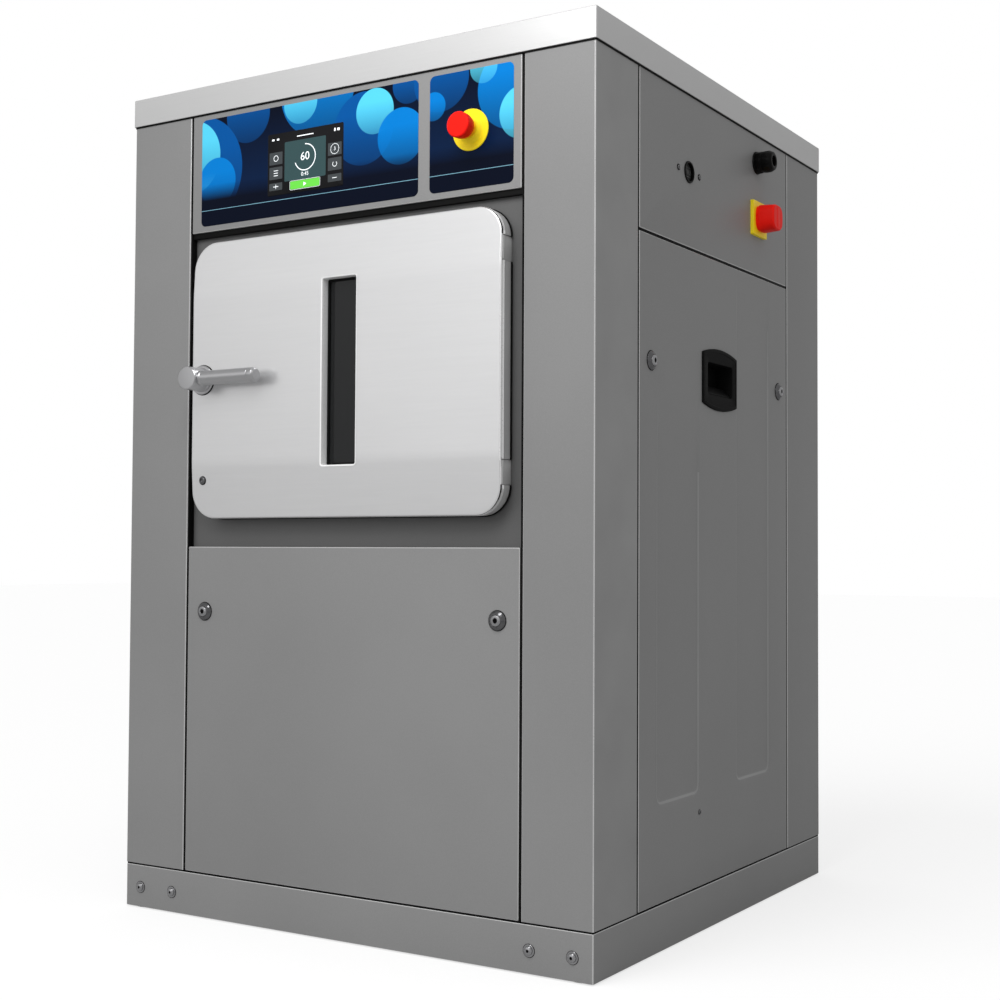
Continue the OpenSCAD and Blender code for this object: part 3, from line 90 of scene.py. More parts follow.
class Graph:
    """The nodes of one material or world, with short names for the work on them."""

    def __init__(self, owner):
        owner.use_nodes = True
        self.owner = owner
        self.nodes = owner.node_tree.nodes
        self.links = owner.node_tree.links
        self.surface = self.nodes.get("Principled BSDF")

    def put(self, socket, value):
        if isinstance(value, bpy.types.NodeSocket):
            self.links.new(value, socket)
        else:
            socket.default_value = value

    def node(self, kind, inputs, output=0, **settings):
        """One output of a new node, whose inputs are set or linked."""
        made = self.nodes.new("ShaderNode" + kind)
        for name, value in settings.items():
            setattr(made, name, value)
        for socket, value in inputs.items():
            self.put(made.inputs[socket], value)
        return made.outputs[output]

    def place(self, scale=(1, 1, 1)):
        """Row-frame position, stretched; it moves with the piece."""
        return self.node("Mapping", {"Vector": self.node("TexCoord", {}, "Object"), "Scale": scale})

    def split(self, vector):
        return self.node("SeparateXYZ", {"Vector": vector}).node.outputs

    def math(self, operation, a, b=0.0):
        return self.node("Math", {0: a, 1: b}, operation=operation)

    def length(self, a, b):
        return self.math("SQRT", self.math("ADD", self.math("MULTIPLY", a, a), self.math("MULTIPLY", b, b)))

    def noise(self, scale, detail, roughness=0.5, stretch=(1, 1, 1)):
        return self.node("TexNoise", {"Vector": self.place(stretch), "Scale": scale, "Detail": detail,
                                      "Roughness": roughness})

    def ramp(self, value, low, high, start=0.3, end=0.7, **settings):
        """Value from start to end, mapped onto low to high."""
        return self.node("MapRange", {"Value": value, "From Min": start, "From Max": end, "To Min": low,
                                      "To Max": high}, **settings)

    def mix(self, factor, a, b, kind="RGBA"):
        return self.node("Mix", {"Factor": factor, "A": a, "B": b}, "Result", data_type=kind)

    def feed(self, socket, value):
        """Sets or links an input of the Principled shader."""
        self.put(self.surface.inputs[socket], value)

    def bump(self, height, distance):
        self.feed("Normal", self.node("Bump", {"Height": height, "Distance": distance}))

    def dress(self, color, tone, dark, light, rough):
        """Base colour from dark to light by the tone, and the roughness."""
        self.feed("Base Color", self.mix(tone, shade(color, dark), shade(color, light)))
        self.feed("Roughness", rough)


def shader(name, color, roughness=0.5, metallic=0.0, specular=0.5):
    """The graph of a new material with one Principled shader."""
    g = Graph(bpy.data.materials.new(name))
    for socket, value in (("Base Color", (*color, 1)), ("Roughness", roughness), ("Metallic", metallic),
                          ("Specular IOR Level", specular)):
        g.feed(socket, value)
    return g


def shade(color, factor):
    return (*[c * factor for c in color], 1)


def grey(level):
    return level, level, level


def paint(name, color, roughness=0.5):
    """Powder coat: a fine speckle, faint clouds and a slight orange peel."""
    g = shader(name, color, roughness)
    fine, cloud = g.noise(900, 2), g.noise(2.5, 3)
    tone = g.math("ADD", g.math("MULTIPLY", fine, 0.45), g.math("MULTIPLY", cloud, 0.55))
    g.dress(color, g.ramp(tone, 0, 1, 0.38, 0.62), 0.94, 1.06, g.ramp(cloud, roughness - 0.04, roughness + 0.05))
    g.bump(fine, 0.00005)
    return g.owner


def brushed(name, color, roughness, along=0, contrast=0.05, depth=0.00002, metallic=1.0, uneven=0.05, fine=700.0):
    """Brushed steel: long fine scratches along one axis of the row frame."""
    g = shader(name, color, roughness, metallic)
    stretch = [fine] * 3
    stretch[along] = 9.0
    scratch, cloud = g.noise(1.0, 3, 0.7, stretch), g.noise(3.0, 2)
    rough = g.math("ADD", g.ramp(scratch, -uneven, uneven), g.ramp(cloud, roughness - 0.03, roughness + 0.03))
    g.dress(color, g.ramp(scratch, 0, 1), 1 - contrast, 1 + contrast, rough)
    g.bump(scratch, depth)
    return g.owner


def moulded(name, color, roughness=0.4, grain=0.00003, specular=0.5):
    """Moulded plastic or rubber with a fine grain."""
    g = shader(name, color, roughness, specular=specular)
    fine, cloud = g.noise(700, 2), g.noise(12, 2)
    g.dress(color, g.ramp(cloud, 0, 1), 0.94, 1.06, g.ramp(fine, roughness - 0.05, roughness + 0.05))
    g.bump(fine, grain)
    return g.owner


def polished(name, color, roughness=0.16):
    """Turned and polished metal with faint smears."""
    g = shader(name, color, roughness, 1.0)
    smear = g.noise(60, 3)
    g.dress(color, g.ramp(smear, 0, 1), 0.92, 1.05, g.ramp(smear, roughness - 0.04, roughness + 0.06))
    return g.owner


def satin(name, color, roughness=0.42, metallic=0.25):
    """Blasted or painted metal that scatters most of its light."""
    g = shader(name, color, roughness, metallic)
    fine, cloud = g.noise(650, 2), g.noise(9, 2)
    g.dress(color, g.ramp(cloud, 0, 1), 0.95, 1.05, g.ramp(fine, roughness - 0.04, roughness + 0.05))
    g.bump(fine, 0.00002)
    return g.owner


# In metres, as the shader reads them
HOLE_R, HOLE_PITCH = 0.0021, 0.0135
DRUM_R = 0.325
DRUM_AXIS_Z = sum(corner.z for corner in box_mm("drum_pulley")) / 2 * MM


def perforated(name, color, roughness):
    """Drum sheet: rows of punched holes round the drum's axis, drawn by position, on its shell alone."""
    g = shader(name, color, roughness, 1.0)
    x, y, z = g.split(g.place())
    drop = g.math("SUBTRACT", z, DRUM_AXIS_Z)
    rows = round(2 * math.pi * DRUM_R / HOLE_PITCH)
    row = g.math("MULTIPLY", g.math("ARCTAN2", drop, y), rows / (2 * math.pi))
    odd = g.math("MODULO", g.math("FLOOR", g.math("ADD", row, rows)), 2.0)
    column = g.math("ADD", g.math("DIVIDE", x, HOLE_PITCH), g.math("MULTIPLY", odd, 0.5))
    across, up = (g.math("SUBTRACT", g.math("FRACT", v), 0.5) for v in (column, row))
    hole = HOLE_R / HOLE_PITCH
    solid = g.math("MAXIMUM", g.ramp(g.length(across, up), 0, 1, 0.9 * hole, 1.15 * hole),
                   g.ramp(g.length(y, drop), 1, 0, DRUM_R - 0.008, DRUM_R - 0.006))
    scratch = g.noise(1.0, 3, stretch=(4, 500, 500))
    steel = g.mix(g.ramp(scratch, 0, 1), shade(color, 0.94), shade(color, 1.05))
    g.feed("Base Color", g.mix(solid, (0.01, 0.01, 0.01, 1), steel))
    g.feed("Roughness", g.ramp(scratch, roughness - 0.04, roughness + 0.05))
    g.bump(solid, 0.0006)
    return g.owner


# Film artwork: plain overlapping discs, each with its own blue, and a dark foot strip
FILM_NIGHT = (0.001, 0.003, 0.012, 1)
FILM_DEEP = (0.002, 0.014, 0.055, 1)
FILM_BLUE = (0.0, 0.20, 0.62, 1)
FILM_MID = (0.0, 0.085, 0.33, 1)
FILM_SKY = (0.10, 0.66, 0.90, 1)
FILM_LINE = (0.25, 0.52, 0.66, 1)
# Centre across, centre up, radius, colour and strength of each disc
FILM_DISCS = [
    (-300, 1236, 92, FILM_MID, 1.0), (-318, 1262, 62, FILM_SKY, 0.95), (-262, 1216, 40, FILM_BLUE, 1.0),
    (-196, 1318, 46, FILM_MID, 0.9), (-52, 1338, 74, FILM_BLUE, 1.0), (-86, 1322, 34, FILM_SKY, 0.9),
    (40, 1262, 58, FILM_MID, 1.0), (62, 1286, 36, FILM_SKY, 0.95), (112, 1240, 44, FILM_BLUE, 1.0),
    (126, 1318, 30, FILM_MID, 1.0), (186, 1316, 50, FILM_MID, 1.0), (172, 1276, 22, FILM_BLUE, 1.0),
    (316, 1286, 64, FILM_BLUE, 1.0), (330, 1246, 40, FILM_SKY, 0.95), (262, 1322, 24, FILM_SKY, 0.7),
]
FILM_DARKENS = (1190, 1320)
FILM_FOOT = (1186, 1212)
FILM_LINE_Z = 1169.5


def film_artwork(name):
    g = shader(name, FILM_DEEP[:3], 0.28, specular=0.06)
    x, _, z = g.split(g.place())
    color = g.mix(g.ramp(z, 0, 1, *[level * MM for level in FILM_DARKENS]), FILM_DEEP, FILM_NIGHT)
    for across, up, radius, tint, strength in FILM_DISCS:
        dx, dz = g.math("SUBTRACT", x, across * MM), g.math("SUBTRACT", z, up * MM)
        inside = g.ramp(g.length(dx, dz), strength, 0, (radius - 0.5) * MM, (radius + 0.5) * MM)
        # each disc fades towards its lower side
        fade = g.ramp(dz, 0.35, 1, -radius * MM, radius * 0.4 * MM)
        color = g.mix(g.math("MULTIPLY", inside, fade), color, tint)
    color = g.mix(g.ramp(z, 1, 0, *[level * MM for level in FILM_FOOT]), color, FILM_NIGHT)
    off_line = g.math("ABSOLUTE", g.math("SUBTRACT", z, FILM_LINE_Z * MM))
    color = g.mix(g.ramp(off_line, 0.8, 0, 0.3 * MM, 0.6 * MM), color, FILM_LINE)
    g.feed("Base Color", color)
    g.bump(g.noise(1500, 1), 0.000008)
    return g.owner


def dark_glass(name):
    g = shader(name, (0.012, 0.013, 0.014), 0.06, specular=0.12)
    g.feed("Transmission Weight", 0.5)
    g.feed("Roughness", g.ramp(g.noise(18, 3), 0.03, 0.09))
    return g.owner


def glowing(name, color, strength):
    """A lit area of the screen, with a faint pixel pattern."""
    g = shader(name, color, 0.3)
    x, _, z = g.split(g.place((2200, 1, 2200)))
    lattice = g.math("MULTIPLY", g.math("SINE", x), g.math("SINE", z))
    g.feed("Emission Color", g.mix(g.ramp(lattice, 0, 1, -1, 1), shade(color, 0.88), shade(color, 1.0)))
    g.feed("Emission Strength", strength)
    return g.owner


# The record's material slots, and below them the finishes of small pieces and edges, among them painted highlights on
# edges, slopes and trim, and black that is painted shade in joints and grooves. The roughness of the door and the
# handle stays above 0.275, where the render's noise filter would draw marks.
FINISHES = {
    "body_paint": (paint, grey(0.235)),
    "recess_paint": (paint, grey(0.098), 0.48),
    "cover_steel": (brushed, grey(0.55), 0.4, 0, 0.02, 0.000006, 0.3, 0.02),
    "door_steel": (brushed, (0.77, 0.77, 0.775), 0.312, 0, 0.012, 0.000001, 0.75, 0.004, 180.0),
    "handle_steel": (brushed, (0.53, 0.53, 0.54), 0.32, 2, 0.02, 0.000001, 1.0, 0.01),
    "hinge_steel": (satin, grey(0.52)),
    "frame_paint": (paint, (0.022, 0.022, 0.024)),
    "film": (film_artwork,),
    "screen": (moulded, (0.004, 0.004, 0.005), 0.12, 0.000002, 0.15),
    "switch_yellow": (moulded, (1.0, 0.78, 0.015), 0.4, 0.00003, 0.2),
    "switch_red": (moulded, (0.96, 0.012, 0.006), 0.4, 0.00003, 0.1),
    "grip_black": (moulded, grey(0.005), 0.5, 0.00006, 0.04),
    "gland_black": (moulded, grey(0.003), 0.35, 0.00003, 0.1),
    "chrome": (polished, (0.42, 0.42, 0.43), 0.12),
    "box_grey": (moulded, (0.48, 0.49, 0.50), 0.5),
    "valve_plastic": (moulded, (0.42, 0.43, 0.44), 0.45),
    "drain_plastic": (moulded, (0.04, 0.042, 0.045), 0.5),
    "damper_steel": (paint, grey(0.012), 0.4),
    "rod_steel": (polished, (0.62, 0.62, 0.63)),
    "spring_steel": (paint, grey(0.008), 0.4),
    "bellows_rubber": (moulded, grey(0.008), 0.62, 0.00008, 0.2),
    "window_glass": (dark_glass,),
    "tub_steel": (brushed, (0.52, 0.52, 0.53), 0.36),
    "end_steel": (paint, (0.17, 0.175, 0.18)),
    "bearing_steel": (polished, (0.60, 0.60, 0.61)),
    "heater_steel": (polished, (0.30, 0.26, 0.22), 0.35),
    "motor_alloy": (moulded, (0.20, 0.22, 0.23), 0.5),
    "belt_rubber": (moulded, grey(0.006), 0.7),
    "drum_steel": (perforated, (0.60, 0.60, 0.61), 0.26),
    "hatch_steel": (perforated, (0.60, 0.60, 0.61), 0.26),
    "pulley_alloy": (polished, (0.42, 0.43, 0.44), 0.4),
    "pulley_steel": (polished, (0.45, 0.45, 0.46), 0.3),
    # Painted highlights: on the cladding's rounded edges, and a fainter one on the pressed fields' slopes
    "edge_paint": (satin, grey(0.62), 0.3),
    "field_edge": (satin, grey(0.30)),
    "door_rim": (satin, grey(0.62)),
    # Painted highlight on the doors' front edges and hems, the window rims and the hinge leaves
    "bright_trim": (satin, grey(0.92), 0.3),
    # Black rubber of the window beads and the door screws' washers; the same black is painted shade in the joints, the
    # doors' edge grooves and round the doors and handles
    "gasket": (moulded, grey(0.004), 0.6, 0.00004, 0.1),
    "screen_white": (glowing, (0.75, 0.78, 0.80), 0.75),
    "screen_green": (glowing, (0.08, 0.42, 0.03), 0.85),
    "screen_grey": (glowing, (0.022, 0.027, 0.030), 0.6),
    "screen_teal": (glowing, (0.008, 0.035, 0.038), 0.7),
    "lock_steel": (polished, (0.16, 0.16, 0.165), 0.14),
    "lock_bright": (polished, (0.40, 0.40, 0.41), 0.14),
    # Near black: in the sockets and as washers round the heads it is painted shade; it also lines the gland's way
    "socket_dark": (moulded, grey(0.002), 0.5, 0.00003, 0.05),
    "insert_grey": (satin, grey(0.06), 0.3, 0.6),
}
MATERIAL = {name: maker(name, *settings) for name, (maker, *settings) in FINISHES.items()}


# Mesh helpers: a shape is (points, faces)

FACES = {
    "front": ((1, 0, 0), (0, 0, 1), (0, -1, 0)),
    "rear": ((-1, 0, 0), (0, 0, 1), (0, 1, 0)),
    "right": ((0, 1, 0), (0, 0, 1), (1, 0, 0)),
    "left": ((0, -1, 0), (0, 0, 1), (-1, 0, 0)),
}
UPRIGHT = Matrix.Rotation(math.pi / 2, 4, "Z")


def at(face, x, y, z):
    """Local X across a face, local Y up it and local Z out of it, from a point on it."""
    return Matrix([*[list(row) for row in zip(*FACES[face], (x, y, z))], [0, 0, 0, 1]])


def shift(x, y, z):
    return Matrix.Translation((x, y, z))


def mesh_of(name, shape, place):
    """A mesh in metres, welded, with its faces turned outwards."""
    points, faces = shape
    mesh = bpy.data.meshes.new(name)
    mesh.from_pydata([(place @ Vector(p)) * MM for p in points], [], faces)
    work = bmesh.new()
    work.from_mesh(mesh)
    bmesh.ops.remove_doubles(work, verts=work.verts, dist=TINY)
    bmesh.ops.recalc_face_normals(work, faces=work.faces)
    work.to_mesh(mesh)
    work.free()
    return mesh


def smooth(mesh, angle):
    mesh.shade_smooth()
    mesh.set_sharp_from_angle(angle=math.radians(angle))


def piece(name, shape, slot, body, place=IDENTITY, finish=None, angle=35, replaces=None):
    """Makes a piece of the scene and puts it on its body, if it has one, and in its node's place, if it has one."""
    made = linked(name, mesh_of(name, shape, place))
    smooth(made.data, angle)
    made.data.materials.append(MATERIAL[finish or slot])
    if body:
        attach(made, body)
    if replaces:
        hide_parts(replaces)
    return made


def softened(points, radius, steps=4, closed=False):
    """A polyline with its corners rounded."""
    soft = []
    count = len(points)
    for i, point in enumerate(points):
        corner = Vector(point)
        back = Vector(points[i - 1]) - corner
        ahead = Vector(points[(i + 1) % count]) - corner
        at_end = not closed and i in (0, count - 1)
        if at_end or min(back.length, ahead.length) < TINY or back.angle(ahead) > math.radians(172):
            soft.append(corner)
            continue
        cut_back = min(radius / math.tan(back.angle(ahead) / 2), 0.48 * back.length, 0.48 * ahead.length)
        start = corner + back.normalized() * cut_back
        end = corner + ahead.normalized() * cut_back
        for k in range(steps + 1):
            t = k / steps
            soft.append(start * (1 - t) ** 2 + corner * (2 * t * (1 - t)) + end * t ** 2)
    return soft


def rounded_edge(radius, level=0.0, steps=4):
    """(inset, height) steps of a rounded edge, from the side wall up to the face at a level."""
    turns = [math.pi / 2 * k / steps for k in range(steps + 1)]
    return [(radius * (1 - math.cos(t)), level - radius * (1 - math.sin(t))) for t in turns]


def band(low, high):
    """Four-sided faces between two closed rows of equal length."""
    return [(low[k], low[n], high[n], high[k]) for k, n in enumerate([*range(1, len(low)), 0])]


def lathe(profile, steps=72):
    """Turns (radius, height) points about local Z; a zero radius closes the end."""
    points, faces, rows = [], [], []
    for radius, height in profile:
        count = 1 if radius < TINY else steps
        rows.append([len(points) + k % count for k in range(steps)])
        turns = [2 * math.pi * k / steps for k in range(count)]
        points += [(0, 0, height)] if count == 1 else [(radius * math.cos(t), radius * math.sin(t), height)
                                                       for t in turns]
    for low, high in zip(rows, rows[1:]):
        faces += [tuple(dict.fromkeys(face)) for face in band(low, high)]
    return points, faces


def turned(profile, radius=0.6, steps=72):
    """A lathe piece with its profile's corners rounded."""
    return lathe([tuple(p) for p in softened(profile, radius)], steps)


def round_rect(width, height, radius, steps=6):
    """Outline function: points of a round-cornered rectangle at a given inset."""
    def outline(inset):
        r = max(radius - inset, 0.05)
        half_w, half_h = width / 2 - inset - r, height / 2 - inset - r
        points = []
        for quarter, (sx, sy) in enumerate(((1, 1), (-1, 1), (-1, -1), (1, -1))):
            for k in range(steps + 1):
                turn = math.pi / 2 * (quarter + k / steps)
                points.append((sx * half_w + r * math.cos(turn), sy * half_h + r * math.sin(turn)))
        return points
    return outline


def stacked(outline, profile, caps=True):
    """Rings of an outline at (inset, height) steps, with both ends closed or open."""
    points, faces = [], []
    for inset, height in profile:
        points += [(x, y, height) for x, y in outline(inset)]
    count = len(outline(0))
    rows = [range(i, i + count) for i in range(0, len(points), count)]
    for low, high in zip(rows, rows[1:]):
        faces += band(low, high)
    if caps:
        faces += [tuple(reversed(rows[0])), tuple(rows[-1])]
    return points, faces


def joined(*shapes):
    points, faces = [], []
    for more_points, more_faces in shapes:
        start = len(points)
        points += list(more_points)
        faces += [tuple(start + i for i in face) for face in more_faces]
    return points, faces


def moved(shape, matrix):
    points, faces = shape
    return [tuple(matrix @ Vector(p)) for p in points], faces


def slab(width, height, depth, edge=0.8, corner=None):
    """A plate that stands on local Z = 0, with rounded front edges."""
    return stacked(round_rect(width, height, corner or edge * 1.5), [(0, 0), *rounded_edge(edge, depth, 3)])


def loft(work, outline, profile, dx=0.0):
    """Adds an outline's rings at (inset, height) steps to a bmesh; gives its first and its last ring."""
    rows = [[work.verts.new((x + dx, y, height)) for x, y in outline(inset)] for inset, height in profile]
    for low, high in zip(rows, rows[1:]):
        for face in band(low, high):
            work.faces.new(face)
    return rows[0], rows[-1]


def fill_between(work, *rings):
    """Triangles between rings that lie in one plane."""
    edges = [work.edges.get(pair) for ring in rings for pair in zip(ring, [*ring[1:], ring[0]])]
    bmesh.ops.triangle_fill(work, use_beauty=True, use_dissolve=False, edges=edges)


def shape_of(work):
    """A bmesh as a shape; it frees the bmesh."""
    work.verts.index_update()
    shape = [tuple(v.co) for v in work.verts], [tuple(v.index for v in f.verts) for f in work.faces]
    work.free()
    return shape


def cut(target, shape, place, angle=28):
    """Takes a shape out of a piece."""
    mesh = mesh_of("cutter", shape, place)
    cutter = linked("cutter", mesh)
    difference = target.modifiers.new("cut", "BOOLEAN")
    difference.operation = "DIFFERENCE"
    difference.solver = "EXACT"
    difference.object = cutter
    bpy.context.view_layer.update()
    result = bpy.data.meshes.new_from_object(target.evaluated_get(bpy.context.evaluated_depsgraph_get()))
    target.modifiers.remove(difference)
    old, target.data = target.data, result
    result.name = old.name
    bpy.data.objects.remove(cutter)
    bpy.data.meshes.remove(mesh)
    bpy.data.meshes.remove(old)
    smooth(result, angle)


# CAD nodes that keep their shape take a finish; the others are replaced below

for sub in frame["record"]["subparts"]:
    part = frame["nodes"][sub["node"]]
    part.data.materials.clear()
    part.data.materials.append(MATERIAL[sub["material_slot"]])


# Sheet-metal cladding with rounded edges

EDGE_R = 1.8
EDGE_TILT = 0.87
SLOPE_TILT = 0.93
SHEET = 2
HEM = 0.4
POST_FOLD = 24
POST_R = 2.4
SKIRT_FLANGE = 20
TRIM = 0.9


def clad(node, shape, place=IDENTITY, angle=35, slope_tilt=1.0):
    """A painted sheet in a node's place, with a painted highlight where its faces lie square to no axis; slopes get a
    fainter painted highlight.
    """
    made = piece(f"{node}_sheet", shape, "body_paint", "cabinet", place, angle=angle, replaces=node)
    for finish in ("edge_paint", "field_edge"):
        made.data.materials.append(MATERIAL[finish])
    # Rounded edges take the painted edge highlight, slope faces the fainter painted highlight
    for polygon in made.data.polygons:
        tilt = max(abs(n) for n in polygon.normal)
        polygon.material_index = 1 if tilt < EDGE_TILT else 2 if tilt < slope_tilt else 0
    return made


def panel(node, face, foot=TRIM):
    """A folded sheet on a node's outer face, less the joints' trim: its face in front and its rim behind."""
    low, high = box_mm(node)
    low.z += foot
    middle, size = (low + high) / 2, high - low
    if face in ("front", "rear"):
        place = at(face, middle.x, low.y if face == "front" else high.y, middle.z)
        width, depth = size.x, size.y
    else:
        place = at(face, high.x if face == "right" else low.x, middle.y, middle.z)
        width, depth = size.y, size.x
    tray = stacked(round_rect(width - 2 * TRIM, size.z, EDGE_R, 3),
                   [(SHEET, -SHEET), (SHEET, HEM - depth), (SHEET - HEM, -depth), (HEM, -depth),
                    (0, HEM - depth), *rounded_edge(EDGE_R)])
    return clad(node, tray, place)


def post(node, side, end):
    """An L of sheet; side and end are -1 or 1 along X and Y."""
    low, high = box_mm(node)
    x, y = (high.x if side > 0 else low.x), (high.y if end > 0 else low.y)
    x_in = low.x + TRIM if side > 0 else high.x - TRIM
    y_in = low.y + TRIM if end > 0 else high.y - TRIM
    fold_x, fold_y = x - side * POST_FOLD, y - end * POST_FOLD
    corners = [(x, y, 0), (x_in, y, 0), (x_in, fold_y, 0), (fold_x, fold_y, 0), (fold_x, y_in, 0), (x, y_in, 0)]
    outline = [(c.x, c.y) for c in softened(corners, POST_R, closed=True)]
    clad(node, stacked(lambda inset: outline, [(0, low.z + TRIM), (0, high.z)]))


def skirt_and_cover():
    """The folded ring of the plinth, and the cover as a box that is open below."""
    low, high = box_mm("skirt")
    top = high.z
    profile = [(SHEET, low.z), (HEM, low.z), (0, low.z + HEM), *rounded_edge(EDGE_R, top),
               (SKIRT_FLANGE, top), (SKIRT_FLANGE, top - SHEET), (SHEET, top - SHEET), (SHEET, low.z)]
    clad("skirt", stacked(round_rect(high.x - low.x, high.y - low.y, POST_R, 4), profile, False))
    low, high = box_mm("top_cover")
    profile = [(SHEET, high.z - SHEET), (SHEET, low.z + HEM), (SHEET - HEM, low.z), (HEM, low.z), (0, low.z + HEM),
               *rounded_edge(EDGE_R, high.z)]
    piece("cover_sheet", stacked(round_rect(high.x - low.x, high.y - low.y, POST_R, 4), profile), "cover_steel",
          "cabinet", replaces="top_cover")


for end in ("front", "rear"):
    panel(f"{end}_fascia", end, 0)
for end in ("front", "rear"):
    panel(f"{end}_lower_panel", end)
panel("left_upper_panel", "left")
upper_right = panel("right_upper_panel", "right")
for side, side_name in ((-1, "left"), (1, "right")):
    for end, end_name in ((-1, "front"), (1, "rear")):
        post(f"post_{end_name}_{side_name}", side, end)
skirt_and_cover()


# Lower side panels: sheets with two soft pressed fields

FIELDS = [(-246, -96.5, 224, 850), (57, 197, 224, 1078)]
PRESS_R = 14
PRESS_SLOPE = 7
PRESS_DEPTH = 2.2
PRESS_FADE = 110
GRIP_Y, GRIP_Z = -17, 887
GRIP_HOLE_W, GRIP_HOLE_H = 100, 54
COARSE = 45
NEAR = 0.5


def pressed(x, y):
    """Depth of the pressed fields at a point of the panel, below its face."""
    drop = 0
    for x0, x1, y0, y1 in FIELDS:
        over_x = abs(x - (x0 + x1) / 2) - (x1 - x0) / 2 + PRESS_R
        over_y = abs(y - (y0 + y1) / 2) - (y1 - y0) / 2 + PRESS_R
        away = math.hypot(max(over_x, 0), max(over_y, 0)) + min(max(over_x, over_y), 0) - PRESS_R
        t = min(1, max(0, 0.5 - away / PRESS_SLOPE))
        fade = min(1, max(0, (y1 - y) / PRESS_FADE))
        drop += PRESS_DEPTH * t * t * (3 - 2 * t) * fade
    return drop


def grid_lines(low, high, fields, hole, half):
    """Grid lines over the sheet: close together on the slopes and round the corners, and at the hole's edges."""
    lines = [low, high, hole - half, hole + half]
    for field in fields:
        for edge, inward in zip(field, (1, -1)):
            lines += [edge + PRESS_SLOPE / 8 * k for k in range(-4, 5)]
            lines += [edge + inward * (PRESS_SLOPE / 2 + 2 * k) for k in range(1, 8)]
    count = math.ceil((high - low) / COARSE)
    lines += [low + (high - low) * k / count for k in range(1, count)]
    kept = []
    for value in sorted(v for v in lines if low <= v <= high):
        if not kept or value - kept[-1] > NEAR:
            kept.append(value)
    return kept


def pressed_sheet(width, height, depth):
    """The panel's face in row coordinates along it, with its pressed fields, grip hole and rounded rim."""
    half_w, half_h = GRIP_HOLE_W / 2, GRIP_HOLE_H / 2
    xs = grid_lines(width[0] + EDGE_R, width[1] - EDGE_R, [field[:2] for field in FIELDS], GRIP_Y, half_w)
    ys = grid_lines(height[0] + EDGE_R, height[1] - EDGE_R, [field[2:] for field in FIELDS], GRIP_Z, half_h)
    points = [(x, y, -pressed(x, y)) for y in ys for x in xs]
    across, up = len(xs), len(ys)
    faces = []
    for j in range(up - 1):
        for i in range(across - 1):
            x, y = (xs[i] + xs[i + 1]) / 2, (ys[j] + ys[j + 1]) / 2
            if abs(x - GRIP_Y) >= half_w or abs(y - GRIP_Z) >= half_h:
                a = j * across + i
                faces.append((a, a + 1, a + across + 1, a + across))
    rim = [(i, 0) for i in range(across)] + [(across - 1, j) for j in range(1, up)]
    rim += [(i, up - 1) for i in range(across - 2, -1, -1)] + [(0, j) for j in range(up - 2, 0, -1)]
    last = [j * across + i for i, j in rim]
    profile = [(EDGE_R - inset, level) for inset, level in reversed(rounded_edge(EDGE_R))][1:]
    profile += [(EDGE_R, HEM - depth), (EDGE_R - HEM, -depth), (EDGE_R - SHEET, -depth)]
    for out, level in profile:
        row = range(len(points), len(points) + len(rim))
        for i, j in rim:
            sx, sy = (i == across - 1) - (i == 0), (j == up - 1) - (j == 0)
            points.append((xs[i] + sx * out, ys[j] + sy * out, level))
        faces += band(last, row)
        last = row
    return points, faces


for side, flip in (("right", IDENTITY), ("left", MIRROR_X)):
    low, high = box_mm(f"{side}_lower_panel")
    pressing = pressed_sheet((low.y + TRIM, high.y - TRIM), (low.z + TRIM, high.z - TRIM), high.x - low.x)
    clad(f"{side}_lower_panel", pressing, flip @ at("right", box_mm("right_lower_panel")[1].x, 0, 0), 50, SLOPE_TILT)


# Black strips in the joints between the sheets: painted shade in the gaps

SEAM = 2.5
# Sizes of the black strips that are painted shade in the joints
STRIP_SUNK = 0.9
STRIP_T = 3
STRIP_W = SEAM + 2 * (TRIM + 0.25)
COVER_SHADE = (2.6, 1.5)
SHADE_SEAL = (9, 7)
SHADE_SUNK = 3.5
CORNER_SHADE = 4
WALL_SHADE = 2.4
RECESS_PROUD = 1.2


def seal(length, width=STRIP_W, thick=STRIP_T):
    """A strip along local X, with its top at local Z = 0."""
    edge = 0.35
    return stacked(round_rect(length, width, 0.6, 3), [(0, -thick), (0, -edge), (edge * 0.3, -edge * 0.3), (edge, 0)])


